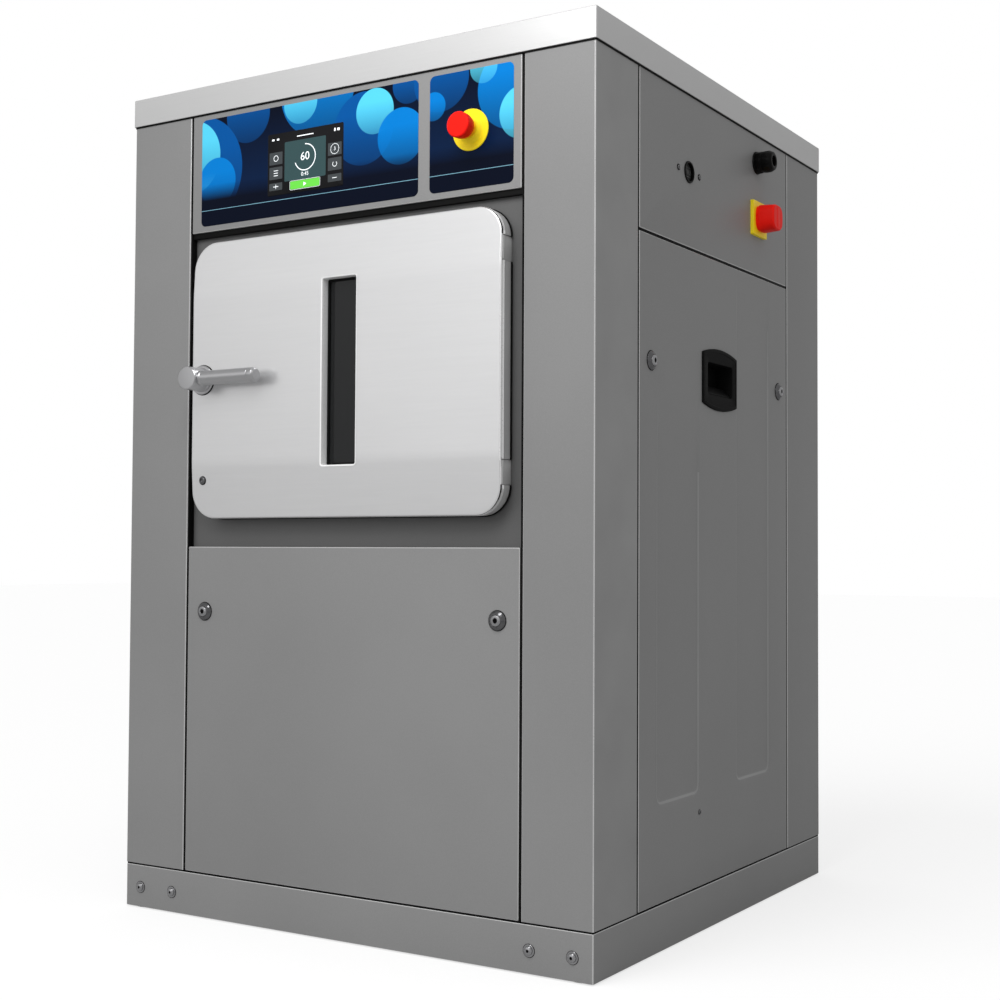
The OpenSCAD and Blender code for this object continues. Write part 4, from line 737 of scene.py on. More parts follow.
def seals():
    """Black strips round the panels, in the door recesses, and round the plinth and the cover, with one under each
    fascia: painted shade in the gaps there.
    """
    low, high = box_mm("skirt")[1].z, box_mm("top_cover")[0].z
    front_low, front_high = box_mm("front_fascia")
    side_low, side_high = box_mm("right_upper_panel")
    body_low, body_high = box_mm("post_front_right")
    x_out, y_out = body_high.x, -body_low.y
    lower_top = box_mm("front_lower_panel")[1].z
    recess_y = box_mm("front_recess")[0].y - RECESS_PROUD
    gap, gap_z = front_low.z - lower_top, (front_low.z + lower_top) / 2
    deep = recess_y + y_out
    shapes = []
    for flip in (IDENTITY, MIRROR_Y):
        for face, edge, inward in (("right", front_low.x - SEAM, 1), ("left", front_high.x + SEAM, -1)):
            for z0, z1 in ((low, lower_top), (front_low.z, high)):
                joint = at("front", edge + inward * SEAM / 2, STRIP_SUNK - y_out, (z0 + z1) / 2)
                shapes.append(moved(seal(z1 - z0), flip @ joint @ UPRIGHT))
            corner = at("front", edge + inward * CORNER_SHADE / 2, recess_y, gap_z)
            wall = at(face, edge + inward * WALL_SHADE, 1 - y_out + deep / 2, gap_z)
            shapes.append(moved(seal(gap, CORNER_SHADE), flip @ corner @ UPRIGHT))
            shapes.append(moved(seal(gap, deep, WALL_SHADE), flip @ wall @ UPRIGHT))
        shade = at("front", (front_low.x + front_high.x) / 2, SHADE_SUNK - y_out, front_low.z - SHADE_SEAL[0] / 2)
        shapes.append(moved(seal(front_high.x - front_low.x, *SHADE_SEAL), flip @ shade))
    for flip in (IDENTITY, MIRROR_X):
        for y in (side_low.y - SEAM / 2, side_high.y + SEAM / 2):
            joint = at("right", x_out - STRIP_SUNK, y, (low + high) / 2)
            shapes.append(moved(seal(high - low), flip @ joint @ UPRIGHT))
        joint = at("right", x_out - STRIP_SUNK, (side_low.y + side_high.y) / 2, side_low.z - SEAM / 2)
        shapes.append(moved(seal(side_high.y - side_low.y + 2 * SEAM), flip @ joint))
    foot = body_low.z
    skirt_line = [(1.5, low - 2), (STRIP_SUNK, low - 0.2), (STRIP_SUNK, foot + 0.2), (1.5, foot + 2),
                  (STRIP_T, foot + 2), (STRIP_T, low - 2), (1.5, low - 2)]
    drop, proud = COVER_SHADE
    cover_line = [(0.2, high - drop), (0.4 - proud, high - drop), (-proud, high - drop + 0.5), (-proud, high + 1),
                  (0.2, high + 1), (0.2, high - drop)]
    shapes += [stacked(round_rect(2 * x_out, 2 * y_out, POST_R, 4), line, False) for line in (skirt_line, cover_line)]
    piece("panel_shade_strips", joined(*shapes), "bellows_rubber", "cabinet", finish="gasket")


seals()


# Doors. The rear repeats the front, mirrored.

ENDS = (("load", "front", IDENTITY), ("unload", "rear", MIRROR_Y))
DOOR_BAND = 277
DOOR_LEAN = 5
DOOR_CORNER = 45
DOOR_EDGE = 3
DOOR_BACK_EDGE = 2
DOOR_GROOVE = 3.6
DOOR_GROOVE_W = 2.4
DOOR_GROOVE_DEPTH = 3.5
DOOR_HEM = 4
DOOR_STEP = 0.8
# Height and reach of the black edging round a door's back, painted shade in the gap round the door
DOOR_SHADE_EDGE = (2.6, 1.0)
DOOR_SCREW_DZ = 165
DOOR_SCREW_PROUD = 0.5
FOLD_SOFT = 9
WINDOW_W, WINDOW_H, WINDOW_R = 69, 295.5, 5
WINDOW_SHIFT = 4.5
WINDOW_LIP = 1.6
WINDOW_TRIM = 1.8
WINDOW_BEAD = 5
WINDOW_DEEP = 16.4
LEAF_W, LEAF_SHIFT = 2.6, -2
HINGE_DZ = 164
HINGE_IN = 7
HINGE_BACK = 11
HINGE_R = 5.3
HINGE_LEN = 22
NOTCH_W, NOTCH_H = 15, 38
NOTCH_FRONT = 4
HANDLE_IN = 24.5
HANDLE_RING = 24
HANDLE_BOSS = 19
BOSS_OUT = 39.8
LEVER_R = 11.75
LEVER_LEN = 134
LEVER_OUT = 23
door_low, door_high = box_mm("load_door")
DOOR_FRONT, DOOR_BACK = door_low.y + DOOR_SCREW_PROUD, door_high.y
DOOR_DEPTH = DOOR_BACK - DOOR_FRONT
DOOR_W, DOOR_H = door_high.x - door_low.x, door_high.z - door_low.z
DOOR_X, DOOR_Z = (door_low.x + door_high.x) / 2, (door_low.z + door_high.z) / 2
DOOR_PLACE = at("front", DOOR_X, DOOR_BACK, DOOR_Z)
HANDLE_X = DOOR_X - DOOR_W / 2 + HANDLE_IN
HINGE_X = DOOR_X + DOOR_W / 2 - HINGE_IN
HINGE_Y = DOOR_FRONT + HINGE_BACK
door_outline = round_rect(DOOR_W, DOOR_H, DOOR_CORNER, 12)
window_outline = round_rect(WINDOW_W, WINDOW_H, WINDOW_R, 5)


def lean(z):
    """How far the face leans back at a height above the door's middle."""
    over = abs(z) - DOOR_BAND / 2
    slope = DOOR_LEAN / ((DOOR_H - DOOR_BAND) / 2)
    if over < -FOLD_SOFT:
        return 0
    if over > FOLD_SOFT:
        return slope * over
    return slope * (over + FOLD_SOFT) ** 2 / (4 * FOLD_SOFT)


def door_shape():
    """Front face towards local +Z: a plate with a window slot, whose upper and lower parts lean back."""
    work = bmesh.new()
    groove = DOOR_DEPTH - DOOR_GROOVE
    hem = groove - DOOR_GROOVE_W - DOOR_HEM
    back = [(inset + DOOR_STEP, -level) for inset, level in reversed(rounded_edge(DOOR_BACK_EDGE, 0, 3))]
    side = [(DOOR_STEP, hem - 0.5), (0, hem), (DOOR_GROOVE_DEPTH, groove - DOOR_GROOVE_W),
            (DOOR_GROOVE_DEPTH, groove), (0, groove)]
    lip = [(-inset, level) for inset, level in rounded_edge(WINDOW_LIP, DOOR_DEPTH)]
    lip_back = [(inset, DOOR_DEPTH - level) for inset, level in reversed(lip)]
    outside = loft(work, door_outline, [*back, *side, *rounded_edge(DOOR_EDGE, DOOR_DEPTH, 6)])
    inside = loft(work, window_outline, [*lip_back, *lip], WINDOW_SHIFT)
    for outer, inner in zip(outside, inside):
        fill_between(work, outer, inner)
    for fold in (-DOOR_BAND / 2, DOOR_BAND / 2):
        for step in (-1, -0.5, 0, 0.5, 1):
            bmesh.ops.bisect_plane(work, geom=[*work.verts, *work.edges, *work.faces],
                                   plane_co=(0, fold + math.copysign(step, fold * step) * FOLD_SOFT, 0),
                                   plane_no=(0, 1, 0))
    for vert in work.verts:
        vert.co.z -= lean(vert.co.y) * vert.co.z / DOOR_DEPTH
    return shape_of(work)


def notched(target, flip):
    """Makes room for the two hinges in the edge of a door's piece."""
    for z in (DOOR_Z - HINGE_DZ, DOOR_Z + HINGE_DZ):
        points = [(x, y, z + dz) for x in (HINGE_X - NOTCH_W, HINGE_X + 2 * NOTCH_W)
                  for y in (DOOR_FRONT + NOTCH_FRONT, DOOR_BACK + 1) for dz in (-NOTCH_H / 2, NOTCH_H / 2)]
        sides = [(0, 1, 3, 2), (4, 6, 7, 5), (0, 4, 5, 1), (2, 3, 7, 6), (0, 2, 6, 4), (1, 5, 7, 3)]
        cut(target, (points, sides), flip)


def hinge_outline(inset):
    """Barrel round the pin in front, and straight sides back to the recess."""
    r = HINGE_R - inset
    arc = [(r * math.cos(a), r * math.sin(a)) for a in [math.pi * (1 + k / 10) for k in range(11)]]
    return [(x + HINGE_X, y + HINGE_Y) for x, y in [*arc, (r, HINGE_LEN - inset), (-r, HINGE_LEN - inset)]]


def hinges():
    """Fixed hinge blocks, each with a tapered leaf on its outer side, painted bright as a highlight."""
    half, shapes, leaves = NOTCH_H / 2 - 0.7, [], []
    corners = [(-LEAF_W, 1 - half), (LEAF_W * 0.2, 1 - half), (LEAF_W, half - 1), (-LEAF_W, half - 1)]
    leaf = stacked(lambda inset: [(y * (1 - inset / LEAF_W), v * (1 - inset / half)) for y, v in corners],
                   [(0, -0.5), (0, 0.5), (0.5, 0.9)])
    body = stacked(hinge_outline, [(0.4, -half), (0, 0.4 - half), (0, half - 0.4), (0.4, half)])
    for _, _, flip in ENDS:
        for z in (DOOR_Z - HINGE_DZ, DOOR_Z + HINGE_DZ):
            shapes.append(moved(body, flip @ shift(0, 0, z)))
            leaves.append(moved(leaf, flip @ at("right", HINGE_X + HINGE_R, HINGE_Y + LEAF_SHIFT, z)))
    piece("hinge_blocks", joined(*shapes), "hinge_steel", "cabinet", finish="door_rim", angle=50,
          replaces="door_hinges")
    piece("hinge_leaves", joined(*leaves), "hinge_steel", "cabinet", finish="bright_trim")


def door(end, flip):
    """Plate with its rim, hem and hinge notches, window rim and bead, black edging, and a screw on its washer. Its
    front edge, its hem and the window rim are painted bright as a highlight, its edge groove is painted black as
    shade, and the black edging is painted shade in the gap round the door.
    """
    body = f"{end}_door"
    plate = piece(f"{end}_door_plate", door_shape(), "door_steel", body, flip @ DOOR_PLACE, angle=28, replaces=body)
    notched(plate, flip)
    for finish in ("door_rim", "gasket", "bright_trim"):
        plate.data.materials.append(MATERIAL[finish])
    # Deep faces take the rim's satin; edge faces near the front are painted bright as a highlight, but for the
    # groove's, which are painted black as shade
    for polygon in plate.data.polygons:
        behind = -DOOR_FRONT - abs(polygon.center.y / MM)
        if behind > DOOR_GROOVE + DOOR_GROOVE_W + DOOR_HEM:
            polygon.material_index = 1
        elif abs(polygon.normal.y) < 0.8:
            polygon.material_index = 2 if DOOR_GROOVE < behind < DOOR_GROOVE + DOOR_GROOVE_W else 3
    normals = plate.modifiers.new("normals", "WEIGHTED_NORMAL")
    normals.keep_sharp = True
    normals.weight = 100
    window = flip @ at("front", DOOR_X + WINDOW_SHIFT, DOOR_FRONT, DOOR_Z)
    trim, deep = WINDOW_TRIM, -WINDOW_DEEP
    rim = [(trim, deep), (trim, -1), (trim - 0.5, -0.2), (-0.6, 0.2), (-0.9, 0), (0.2, -1.2), (0.2, deep),
           (trim, deep)]
    bead = [(trim, deep + 0.3), (trim, deep + 2), (trim + 1, deep + 2.6), (WINDOW_BEAD, deep + 2),
            (WINDOW_BEAD + 0.6, deep + 0.3), (trim, deep + 0.3)]
    # The window rim is painted bright as a highlight; the bead is black rubber
    for name, profile, finish in (("rim", rim, "bright_trim"), ("bead", bead, "gasket")):
        piece(f"{end}_window_{name}", stacked(window_outline, profile, False), "door_steel", body, window, finish)
    # Black edging round the door's back: painted shade in the gap round the door
    height, proud = DOOR_SHADE_EDGE
    profile = [(DOOR_STEP + 3, 0.2), (0.3 - proud, 0.2), (-proud, 0.5), (-proud, height - 0.3), (0.3 - proud, height),
               (DOOR_STEP + 3, height), (DOOR_STEP + 3, 0.2)]
    edging = stacked(door_outline, profile, False)
    notched(piece(f"{end}_door_shade_edging", edging, "door_steel", body, flip @ DOOR_PLACE, "gasket"), flip)
    y = DOOR_FRONT + lean(DOOR_SCREW_DZ) + 0.1
    screw_place = flip @ at("front", HANDLE_X, y, DOOR_Z - DOOR_SCREW_DZ)
    screw = turned([(6.3, 0), (6.3, 1.2), (5.2, 2.6), (3.3, 3.0), (3.3, 1.0), (0, 1.0)], 0.5, 48)
    under = turned([(0, -0.3), (7.5, -0.3), (7.5, 0.3), (7.1, 0.7), (0, 0.7)], 0.2, 48)
    piece(f"{end}_door_screw", screw, "chrome", body, screw_place, "lock_steel")
    piece(f"{end}_door_screw_seal", under, "chrome", body, screw_place, "gasket")


def handle(end, flip):
    """Turned boss on a base ring, with a round lever through it."""
    place = flip @ at("front", HANDLE_X, DOOR_FRONT, DOOR_Z)
    body = f"{end}_handle"
    ring, boss = HANDLE_RING, HANDLE_BOSS
    # A black ring under the base ring: painted shade where the handle meets the door
    gap = [(0, 0.1), (ring + 1.1, 0.1), (ring + 1.1, 0.6), (ring, 1.1), (0, 1.1)]
    piece(f"{end}_handle_shade_ring", turned(gap, 0.2, 96), "handle_steel", f"{end}_door", place, "gasket")
    profile = [(0, 1.2), (ring, 1.2), (ring, 3.2), (ring - 1.6, 4.3), (boss + 0.8, 4.3), (boss + 0.8, 6.0),
               (boss, 7.0), (boss, BOSS_OUT - 1.4), (boss - 1.4, BOSS_OUT), (0, BOSS_OUT)]
    piece(f"{end}_handle_boss", turned(profile, 0.5, 96), "handle_steel", body, place, replaces=body)
    r, tip, collar = LEVER_R, LEVER_LEN, boss - 1.5
    lever = [(0, 2), (r, 2), (r, collar), (r + 1.4, collar), (r + 1.4, collar + 4.5), (r, collar + 6), (r, tip - 14),
             (r - 0.5, tip - 13.4), (r - 0.5, tip - 12.6), (r, tip - 12), (r, tip - 3), (r - 3, tip), (0, tip)]
    out = shift(0, 0, LEVER_OUT) @ Matrix.Rotation(math.pi / 2, 4, "Y")
    piece(f"{end}_handle_lever", turned(lever, 1.2, 64), "handle_steel", body, place @ out)


for end, _, flip in ENDS:
    door(end, flip)
    handle(end, flip)
hinges()


# Graphic films, stop buttons and screen

FASCIA_Y = box_mm("front_fascia")[0].y
FILM_T = 0.5
FILMS = {"screen": (-76, 441), "stop": (240, 149)}
FILM_Z, FILM_H, FILM_R = 1233, 179, 9
STOP_X, STOP_Z = 240, 1231
STOP_DISC = 31.5
STOP_HEAD = 19.4
STOP_OUT = 38
SCREEN_X, SCREEN_Z = -75.6, 1227.7
SCREEN_W, SCREEN_H = 154, 100.7
SCREEN_PROUD = 0.9
KEYS_X, KEY_W, KEY_H = 60, 27, 20

for end, _, flip in ENDS:
    for label, (x, width) in FILMS.items():
        sheet = stacked(round_rect(width, FILM_H, FILM_R, 8), [(0, 0), (0, FILM_T - 0.2), (0.25, FILM_T)])
        piece(f"{end}_{label}_film", sheet, "film", "cabinet", flip @ at("front", x, FASCIA_Y, FILM_Z),
              replaces="graphic_films" if (end, label) == ("load", "screen") else None)
for end, face, flip in ENDS:
    place = flip @ at("front", STOP_X, FASCIA_Y, STOP_Z)
    disc = [(0, FILM_T), (STOP_DISC, FILM_T), (STOP_DISC, FILM_T + 1.1), (STOP_DISC - 1.0, FILM_T + 1.9),
            (21.5, FILM_T + 1.6), (19, 4.4), (15.4, 7.5), (15.4, 9.7), (0, 9.7)]
    piece(f"{end}_stop_disc", turned(disc, 0.5, 96), "switch_yellow", "cabinet", place)
    head = [(0, STOP_OUT), (STOP_HEAD - 2.2, STOP_OUT), (STOP_HEAD - 0.4, STOP_OUT - 1.2),
            (STOP_HEAD, STOP_OUT - 3.2), (STOP_HEAD - 0.4, 25), (STOP_HEAD - 2, 18.6), (STOP_HEAD - 3.2, 17),
            (12.6, 17), (12.6, 15.2), (9, 15.2), (9, 8.0), (0, 8.0)]
    piece(f"{end}_stop_head", turned(head, 0.9, 96), "switch_red", f"{face}_stop", place,
          replaces=f"{face}_stop_button")


def glyph(text, size, x, z):
    """Digits as flat outlines, centred on a point of the screen."""
    curve = bpy.data.curves.new("digits", "FONT")
    curve.body = text
    curve.size = size
    curve.align_x, curve.align_y = "CENTER", "CENTER"
    curve.resolution_u = 3
    holder = linked("digits", curve)
    bpy.context.view_layer.update()
    mesh = bpy.data.meshes.new_from_object(holder.evaluated_get(bpy.context.evaluated_depsgraph_get()))
    shape = ([(v.co.x + x, v.co.y + z, 0) for v in mesh.vertices], [tuple(p.vertices) for p in mesh.polygons])
    bpy.data.objects.remove(holder)
    bpy.data.curves.remove(curve)
    bpy.data.meshes.remove(mesh)
    return shape


def patch(width, height, x, z, corner=1.0):
    """A flat round-cornered patch."""
    points = [(px + x, pz + z, 0) for px, pz in round_rect(width, height, corner, 3)(0)]
    return points, [tuple(range(len(points)))]


def arc_band(radius, width, x, z, start=0.0, end=360.0, steps=48):
    """A flat ring or part of one; angles run from the top, clockwise."""
    points = []
    for k in range(steps + 1):
        turn = math.radians(90 - start - (end - start) * k / steps)
        for r in (radius - width / 2, radius + width / 2):
            points.append((x + r * math.cos(turn), z + r * math.sin(turn), 0))
    return points, [(2 * k, 2 * k + 1, 2 * k + 3, 2 * k + 2) for k in range(steps)]


def frame_band(width, height, x, z, line, corner=1.5):
    """A thin outline of a round-cornered rectangle."""
    outline = round_rect(width, height, corner, 3)
    points = [(px + x, pz + z, 0) for inset in (0, line) for px, pz in outline(inset)]
    half = len(points) // 2
    return points, band(range(half), range(half, 2 * half))


def display():
    """The glass, with its lit fields and marks just above it."""
    place = at("front", SCREEN_X, FASCIA_Y, SCREEN_Z)
    glass = stacked(round_rect(SCREEN_W, SCREEN_H, 2.5, 6),
                    [(0, 0), (0, SCREEN_PROUD - 0.3), (0.1, SCREEN_PROUD - 0.1), (0.35, SCREEN_PROUD)])
    piece("screen_glass", glass, "screen", "cabinet", place, replaces="touch_display")
    grey_keys = [patch(KEY_W, KEY_H, x, z) for x in (-KEYS_X, KEYS_X) for z in (10, -14)]
    grey_keys += [patch(KEY_W, 12, x, -36) for x in (-KEYS_X, KEYS_X)]
    white = [
        arc_band(21, 1.6, 0, 5, 0, 250), frame_band(17, 17, KEYS_X, 10, 0.7, 8), glyph("60", 19, 0, 6),
        patch(34, 1.6, 0, 40.5, 0.7), patch(5, 3, -66, 40.5, 0.6), patch(5, 3, -56, 40.5, 0.6),
        patch(3, 5, 60, 40.5, 0.6), patch(5, 4, 67, 40.5, 0.6), glyph("0:45", 9, 0, -22),
        arc_band(4.5, 0.9, -KEYS_X, 10), glyph("3", 8, KEYS_X, 10), arc_band(4, 0.9, KEYS_X, -14, 40, 320),
        *[patch(9, 1.0, -KEYS_X, z, 0.4) for z in (-10, -14, -18)], patch(11, 0.9, -KEYS_X, -36, 0.4),
        patch(0.9, 7, -KEYS_X, -36, 0.4), patch(9, 0.9, KEYS_X, -36, 0.4), frame_band(62, 15, 0, -38, 0.5, 2.5),
    ]
    play = [(-2.6, -41.2, 0), (3.4, -38, 0), (-2.6, -34.8, 0)], [(0, 1, 2)]
    for name, shape, lift, finish in (
            ("keys", joined(*grey_keys), 0.02, "screen_grey"), ("field", patch(84, 64, 0, 2, 2), 0.02, "screen_teal"),
            ("start", patch(60, 13, 0, -38, 2), 0.02, "screen_green"), ("marks", joined(*white), 0.04, "screen_white"),
            ("start_mark", play, 0.04, "screen_white")):
        piece(f"screen_{name}", shape, "screen", "cabinet", place @ shift(0, 0, SCREEN_PROUD + lift), finish)


display()


# Right side: isolator, gland and service socket

SIDE_X = box_mm("right_upper_panel")[1].x
ISOLATOR_Y, ISOLATOR_Z = 147, 1185
PLATE_SIZE, PLATE_T = 60, 6
KNOB_R, KNOB_FACE_R, KNOB_LEN = 23.5, 21.25, 33
KNOB_POWER = 3
KNOB_STEPS = 96
GLAND_Y, GLAND_Z, GLAND_R, GLAND_LEN = 144, 1284, 18, 33
GLAND_FLATS = 8
GLAND_RIBS = 18
SOCKET_R = 15
SOCKET_Y, SOCKET_Z = -135, 1208


def knob_outline(inset):
    """A circle swollen towards a square."""
    points = []
    for turn in (2 * math.pi * k / KNOB_STEPS for k in range(KNOB_STEPS)):
        across, up = math.cos(turn), math.sin(turn)
        r = (KNOB_R - inset) * (abs(across) ** KNOB_POWER + abs(up) ** KNOB_POWER) ** (-1 / KNOB_POWER)
        points.append((across * r, up * r))
    return points


def isolator():
    place = at("right", SIDE_X, ISOLATOR_Y, ISOLATOR_Z)
    piece("isolator_plate", slab(PLATE_SIZE, PLATE_SIZE, PLATE_T, 0.8, 1.4), "switch_yellow", "cabinet", place,
          replaces="switch_bases")
    r, face_r, top = KNOB_R, KNOB_FACE_R, PLATE_T + KNOB_LEN
    knob = [(r - 3, PLATE_T + 0.3), (r - 1.4, PLATE_T + 0.3), (r - 1.4, PLATE_T + 3.2), (r, PLATE_T + 4),
            (r - 0.2, PLATE_T + 9), (face_r + 0.6, top - 2.4), (face_r - 1.2, top), (face_r - 4, top)]
    profile = [(KNOB_R - radius, height) for radius, height in (tuple(p) for p in softened(knob, 1.2))]
    piece("isolator_head", stacked(knob_outline, profile), "switch_red", "isolator", place,
          replaces="isolator_knob")
    bar = slab(9, 2 * KNOB_FACE_R - 8, 0.3, 0.2, 3)
    piece("isolator_mark", bar, "switch_red", "isolator", place @ shift(0, 0, top))


def gland():
    """Body with flats, and a ribbed cap round the cable's way out."""
    place = at("right", SIDE_X, GLAND_Y, GLAND_Z)
    r, top = GLAND_R, GLAND_LEN
    seat = turned([(9, 0), (r + 1.6, 0), (r + 1.8, 1.2), (r + 1.2, 3), (r - 2, 3.4), (9, 3.4)], 0.5)
    nut = lathe([(9, 3), (r + 0.6, 3), (r + 1.2, 3.8), (r + 1.2, 11.2), (r + 0.4, 12), (9, 12)], GLAND_FLATS)
    cap = turned([(9, 11), (r, 11), (r, 12.4), (r - 1, 13), (r - 1, 14), (r + 0.2, 14.6), (r, top - 6),
                  (r - 2.4, top - 1), (r - 5, top), (9.8, top), (9, top - 1), (9, 11)], 0.7)
    rib = stacked(round_rect(1.4, 1.8, 0.5, 3), [(0.3, 15), (0, 15.6), (0, top - 7), (0.4, top - 6)])
    ribs = [moved(rib, Matrix.Rotation(2 * math.pi * k / GLAND_RIBS, 4, "Z") @ shift(r - 0.2, 0, 0))
            for k in range(GLAND_RIBS)]
    piece("gland_body", joined(seat, nut, cap, *ribs), "gland_black", "cabinet", place, replaces="cable_gland")
    way = lathe([(9, top - 1), (8.6, top - 5), (8.4, 6), (0, 6)], 48)
    piece("gland_way", way, "gland_black", "cabinet", place, "socket_dark")


def socket():
    """Round service socket: a thin ring, and a contact insert just below its face."""
    place = at("right", SIDE_X, SOCKET_Y, SOCKET_Z)
    cut(upper_right, lathe([(0, -30), (SOCKET_R, -30), (SOCKET_R, 5), (0, 5)], 64), place)
    ring = [(14.6, -10), (14.6, 1.4), (15.4, 2.2), (16.8, 2.2), (17.6, 1.2), (17.6, 0), (17.6, -0.5)]
    piece("socket_rim", turned(ring, 0.3), "gland_black", "cabinet", place, replaces="service_socket")
    rows = [moved(slab(3.2, 9, 1.6, 0.4), shift(x, 0, -3)) for x in (-7.5, -2.5, 2.5, 7.5)]
    bars = [moved(slab(18, 1.6, 1.8, 0.4), shift(0, y, -3)) for y in (-7.4, 7.4)]
    plate = lathe([(0, -3), (14.6, -3), (14.6, -9)], 48)
    piece("socket_insert", joined(plate, *rows, *bars), "gland_black", "cabinet", place, "insert_grey")


isolator()
gland()
socket()


# Fasteners and locks

FRONT_LOCK_IN, FRONT_LOCK_Z = 41, 503
SIDE_LOCK_IN, SIDE_LOCK_Z = 43, 893
BOLTS_X = (-417, -346, 346, 417)
BOLT_Z = 35
SOCKET_SCREW = 39
REAR_SCREW_IN = 41
# Radii of the black washers round the heads: painted shade round them
LOCK_SHADE_WASHER, BOLT_SHADE_WASHER, SMALL_SHADE_WASHER = 16.3, 11.3, 5.2
LOCK_SIZE, BOLT_SIZE = 0.95, 0.88
SMALL_SCREW_Y, SMALL_SCREW_Z = -93.4, 191.6
panel_low, panel_high = box_mm("front_lower_panel")
side_low, side_high = box_mm("right_lower_panel")
skirt_low, skirt_high = box_mm("skirt")


def inward(low, high, distance):
    """Two places at a distance from the outer edges of a panel's joints."""
    return low - SEAM + distance, high + SEAM - distance


def dome(radius, height, hub, hub_height, depth, washer=0.0):
    """A domed head with a socket: washer, dome and a straight recess."""
    base, reach = washer + 0.4, radius - 0.7 - hub
    turns = [math.pi / 2 * k / 8 for k in range(9)]
    top, inner = base + height + hub_height, hub * 0.55
    profile = [(0, 0), (radius, 0), (radius, base)]
    profile += [(hub + reach * math.cos(t), base + height * math.sin(t)) for t in turns]
    profile += [(hub - 0.6, top), (inner, top)]
    well = [(inner, top), (inner * 0.9, top - 0.4), (inner * 0.88, top - depth), (0, top - depth)]
    return joined(lathe(profile, 48), lathe(well, 48))


def washer(radius):
    """A thin black washer that shows round a head: painted shade round it."""
    return turned([(radius - 4, 0.1), (radius, 0.1), (radius, 0.5), (radius - 0.5, 0.9), (radius - 4, 0.9)], 0.2, 64)


# A black disc in a socket's recess: painted shade in it
def socket_shade_disc(radius, level):
    return lathe([(0, level), (radius, level), (radius, level - 0.3)], 32)


def locks():
    """Every panel lock's body and its place on the cabinet."""
    for name, x in zip(("left", "right"), inward(panel_low.x, panel_high.x, FRONT_LOCK_IN)):
        yield f"front_lock_{name}", at("front", x, panel_low.y, FRONT_LOCK_Z)
    for side, x in (("right", side_high.x), ("left", -side_high.x)):
        for name, y in zip(("front", "rear"), inward(side_low.y, side_high.y, SIDE_LOCK_IN)):
            yield f"{side}_lock_{name}", at(side, x, y, SIDE_LOCK_Z)


def fasteners():
    """Turning lock cores, each with a black disc in its socket as painted shade; and every ring, bolt and screw as one
    fixed piece, with its washers and socket discs, black as painted shade round and in the heads, as another.
    """
    lock_ring = turned([(9.4, 0), (15.5, 0), (15.5, 1.3), (14.6, 2.6), (12.6, 4.3), (10.4, 5.6), (9.4, 5.8),
                        (9.4, 0)], 0.9, 64)
    core = joined(turned([(9.1, 0.5), (9.1, 5.9), (8.2, 7.4), (6.2, 8.0), (4.3, 8.0)], 0.8, 64),
                  lathe([(4.3, 8.0), (3.9, 7.5), (3.8, 3.4), (0, 3.4)], 64))
    bolt = joined(turned([(0, 0), (10.5, 0), (10.5, 1.1), (10.0, 1.5), (8.2, 1.5)], 0.3, 48),
                  dome(8.5, 3.6, 4.6, 0.3, 3, 1.2))
    small, rear_screw = dome(4.4, 1.6, 2.2, 0.1, 1.0), dome(7, 2.4, 3.2, 0.2, 1.8)
    # darks: black washers and socket discs, painted shade round and in the heads
    heads, darks = [], []
    for lock, place in locks():
        place = place @ Matrix.Scale(LOCK_SIZE, 4)
        piece(f"{lock}_core", core, "chrome", lock, place, "lock_bright", replaces=lock)
        # A black disc in the core's socket: painted shade in it
        piece(f"{lock}_well", socket_shade_disc(3.9, 6.6), "chrome", lock, place, "socket_dark")
        heads.append(moved(lock_ring, place))
        darks.append(moved(washer(LOCK_SHADE_WASHER), place))
    for _, _, flip in ENDS:
        for x in BOLTS_X:
            place = flip @ at("front", x, skirt_low.y, BOLT_Z) @ Matrix.Scale(BOLT_SIZE, 4)
            heads.append(moved(bolt, place))
            darks += [moved(washer(BOLT_SHADE_WASHER), place), moved(socket_shade_disc(2.7, 4.6), place)]
    for y in (SOCKET_Y - SOCKET_SCREW, SOCKET_Y + SOCKET_SCREW):
        place = at("right", SIDE_X, y, SOCKET_Z)
        heads.append(moved(small, place))
        darks += [moved(washer(SMALL_SHADE_WASHER), place), moved(socket_shade_disc(1.6, 1.7), place)]
    for side, x in (("right", SIDE_X), ("left", -SIDE_X)):
        heads.append(moved(small, at(side, x, SMALL_SCREW_Y, SMALL_SCREW_Z)))
    for x in inward(panel_low.x, panel_high.x, REAR_SCREW_IN):
        for z in (panel_low.z + REAR_SCREW_IN, panel_high.z - REAR_SCREW_IN):
            heads.append(moved(rear_screw, MIRROR_Y @ at("front", x, panel_low.y, z)))
    piece("fastener_shade_washers", joined(*darks), "chrome", "cabinet", finish="socket_dark")
    made = piece("fastener_heads", joined(*heads), "chrome", "cabinet", replaces="panel_fasteners")
    made.data.materials.append(MATERIAL["lock_steel"])
    for polygon in made.data.polygons:
        polygon.material_index = int(polygon.center.z / MM > skirt_high.z)


fasteners()


# Recessed grips

GRIP_W, GRIP_H, GRIP_BOW = 136.8, 101.5, 248
GRIP_T = 3
GRIP_DISH = 0.7
POCKET_W, POCKET_H, POCKET_DEPTH = 98, 52, 30
POCKET_RAMP = 16


def grip_outline(inset, steps=14):
    """Straight sides, with a shallow arc above and below."""
    bow = GRIP_BOW - inset
    middle = GRIP_H / 2 - GRIP_BOW
    reach = math.asin((GRIP_W / 2 - inset) / bow)
    turns = [reach * (1 - 2 * k / steps) for k in range(steps + 1)]
    arc = [(bow * math.sin(t), middle + bow * math.cos(t)) for t in turns]
    return [*arc, *[(-x, -y) for x, y in arc]]


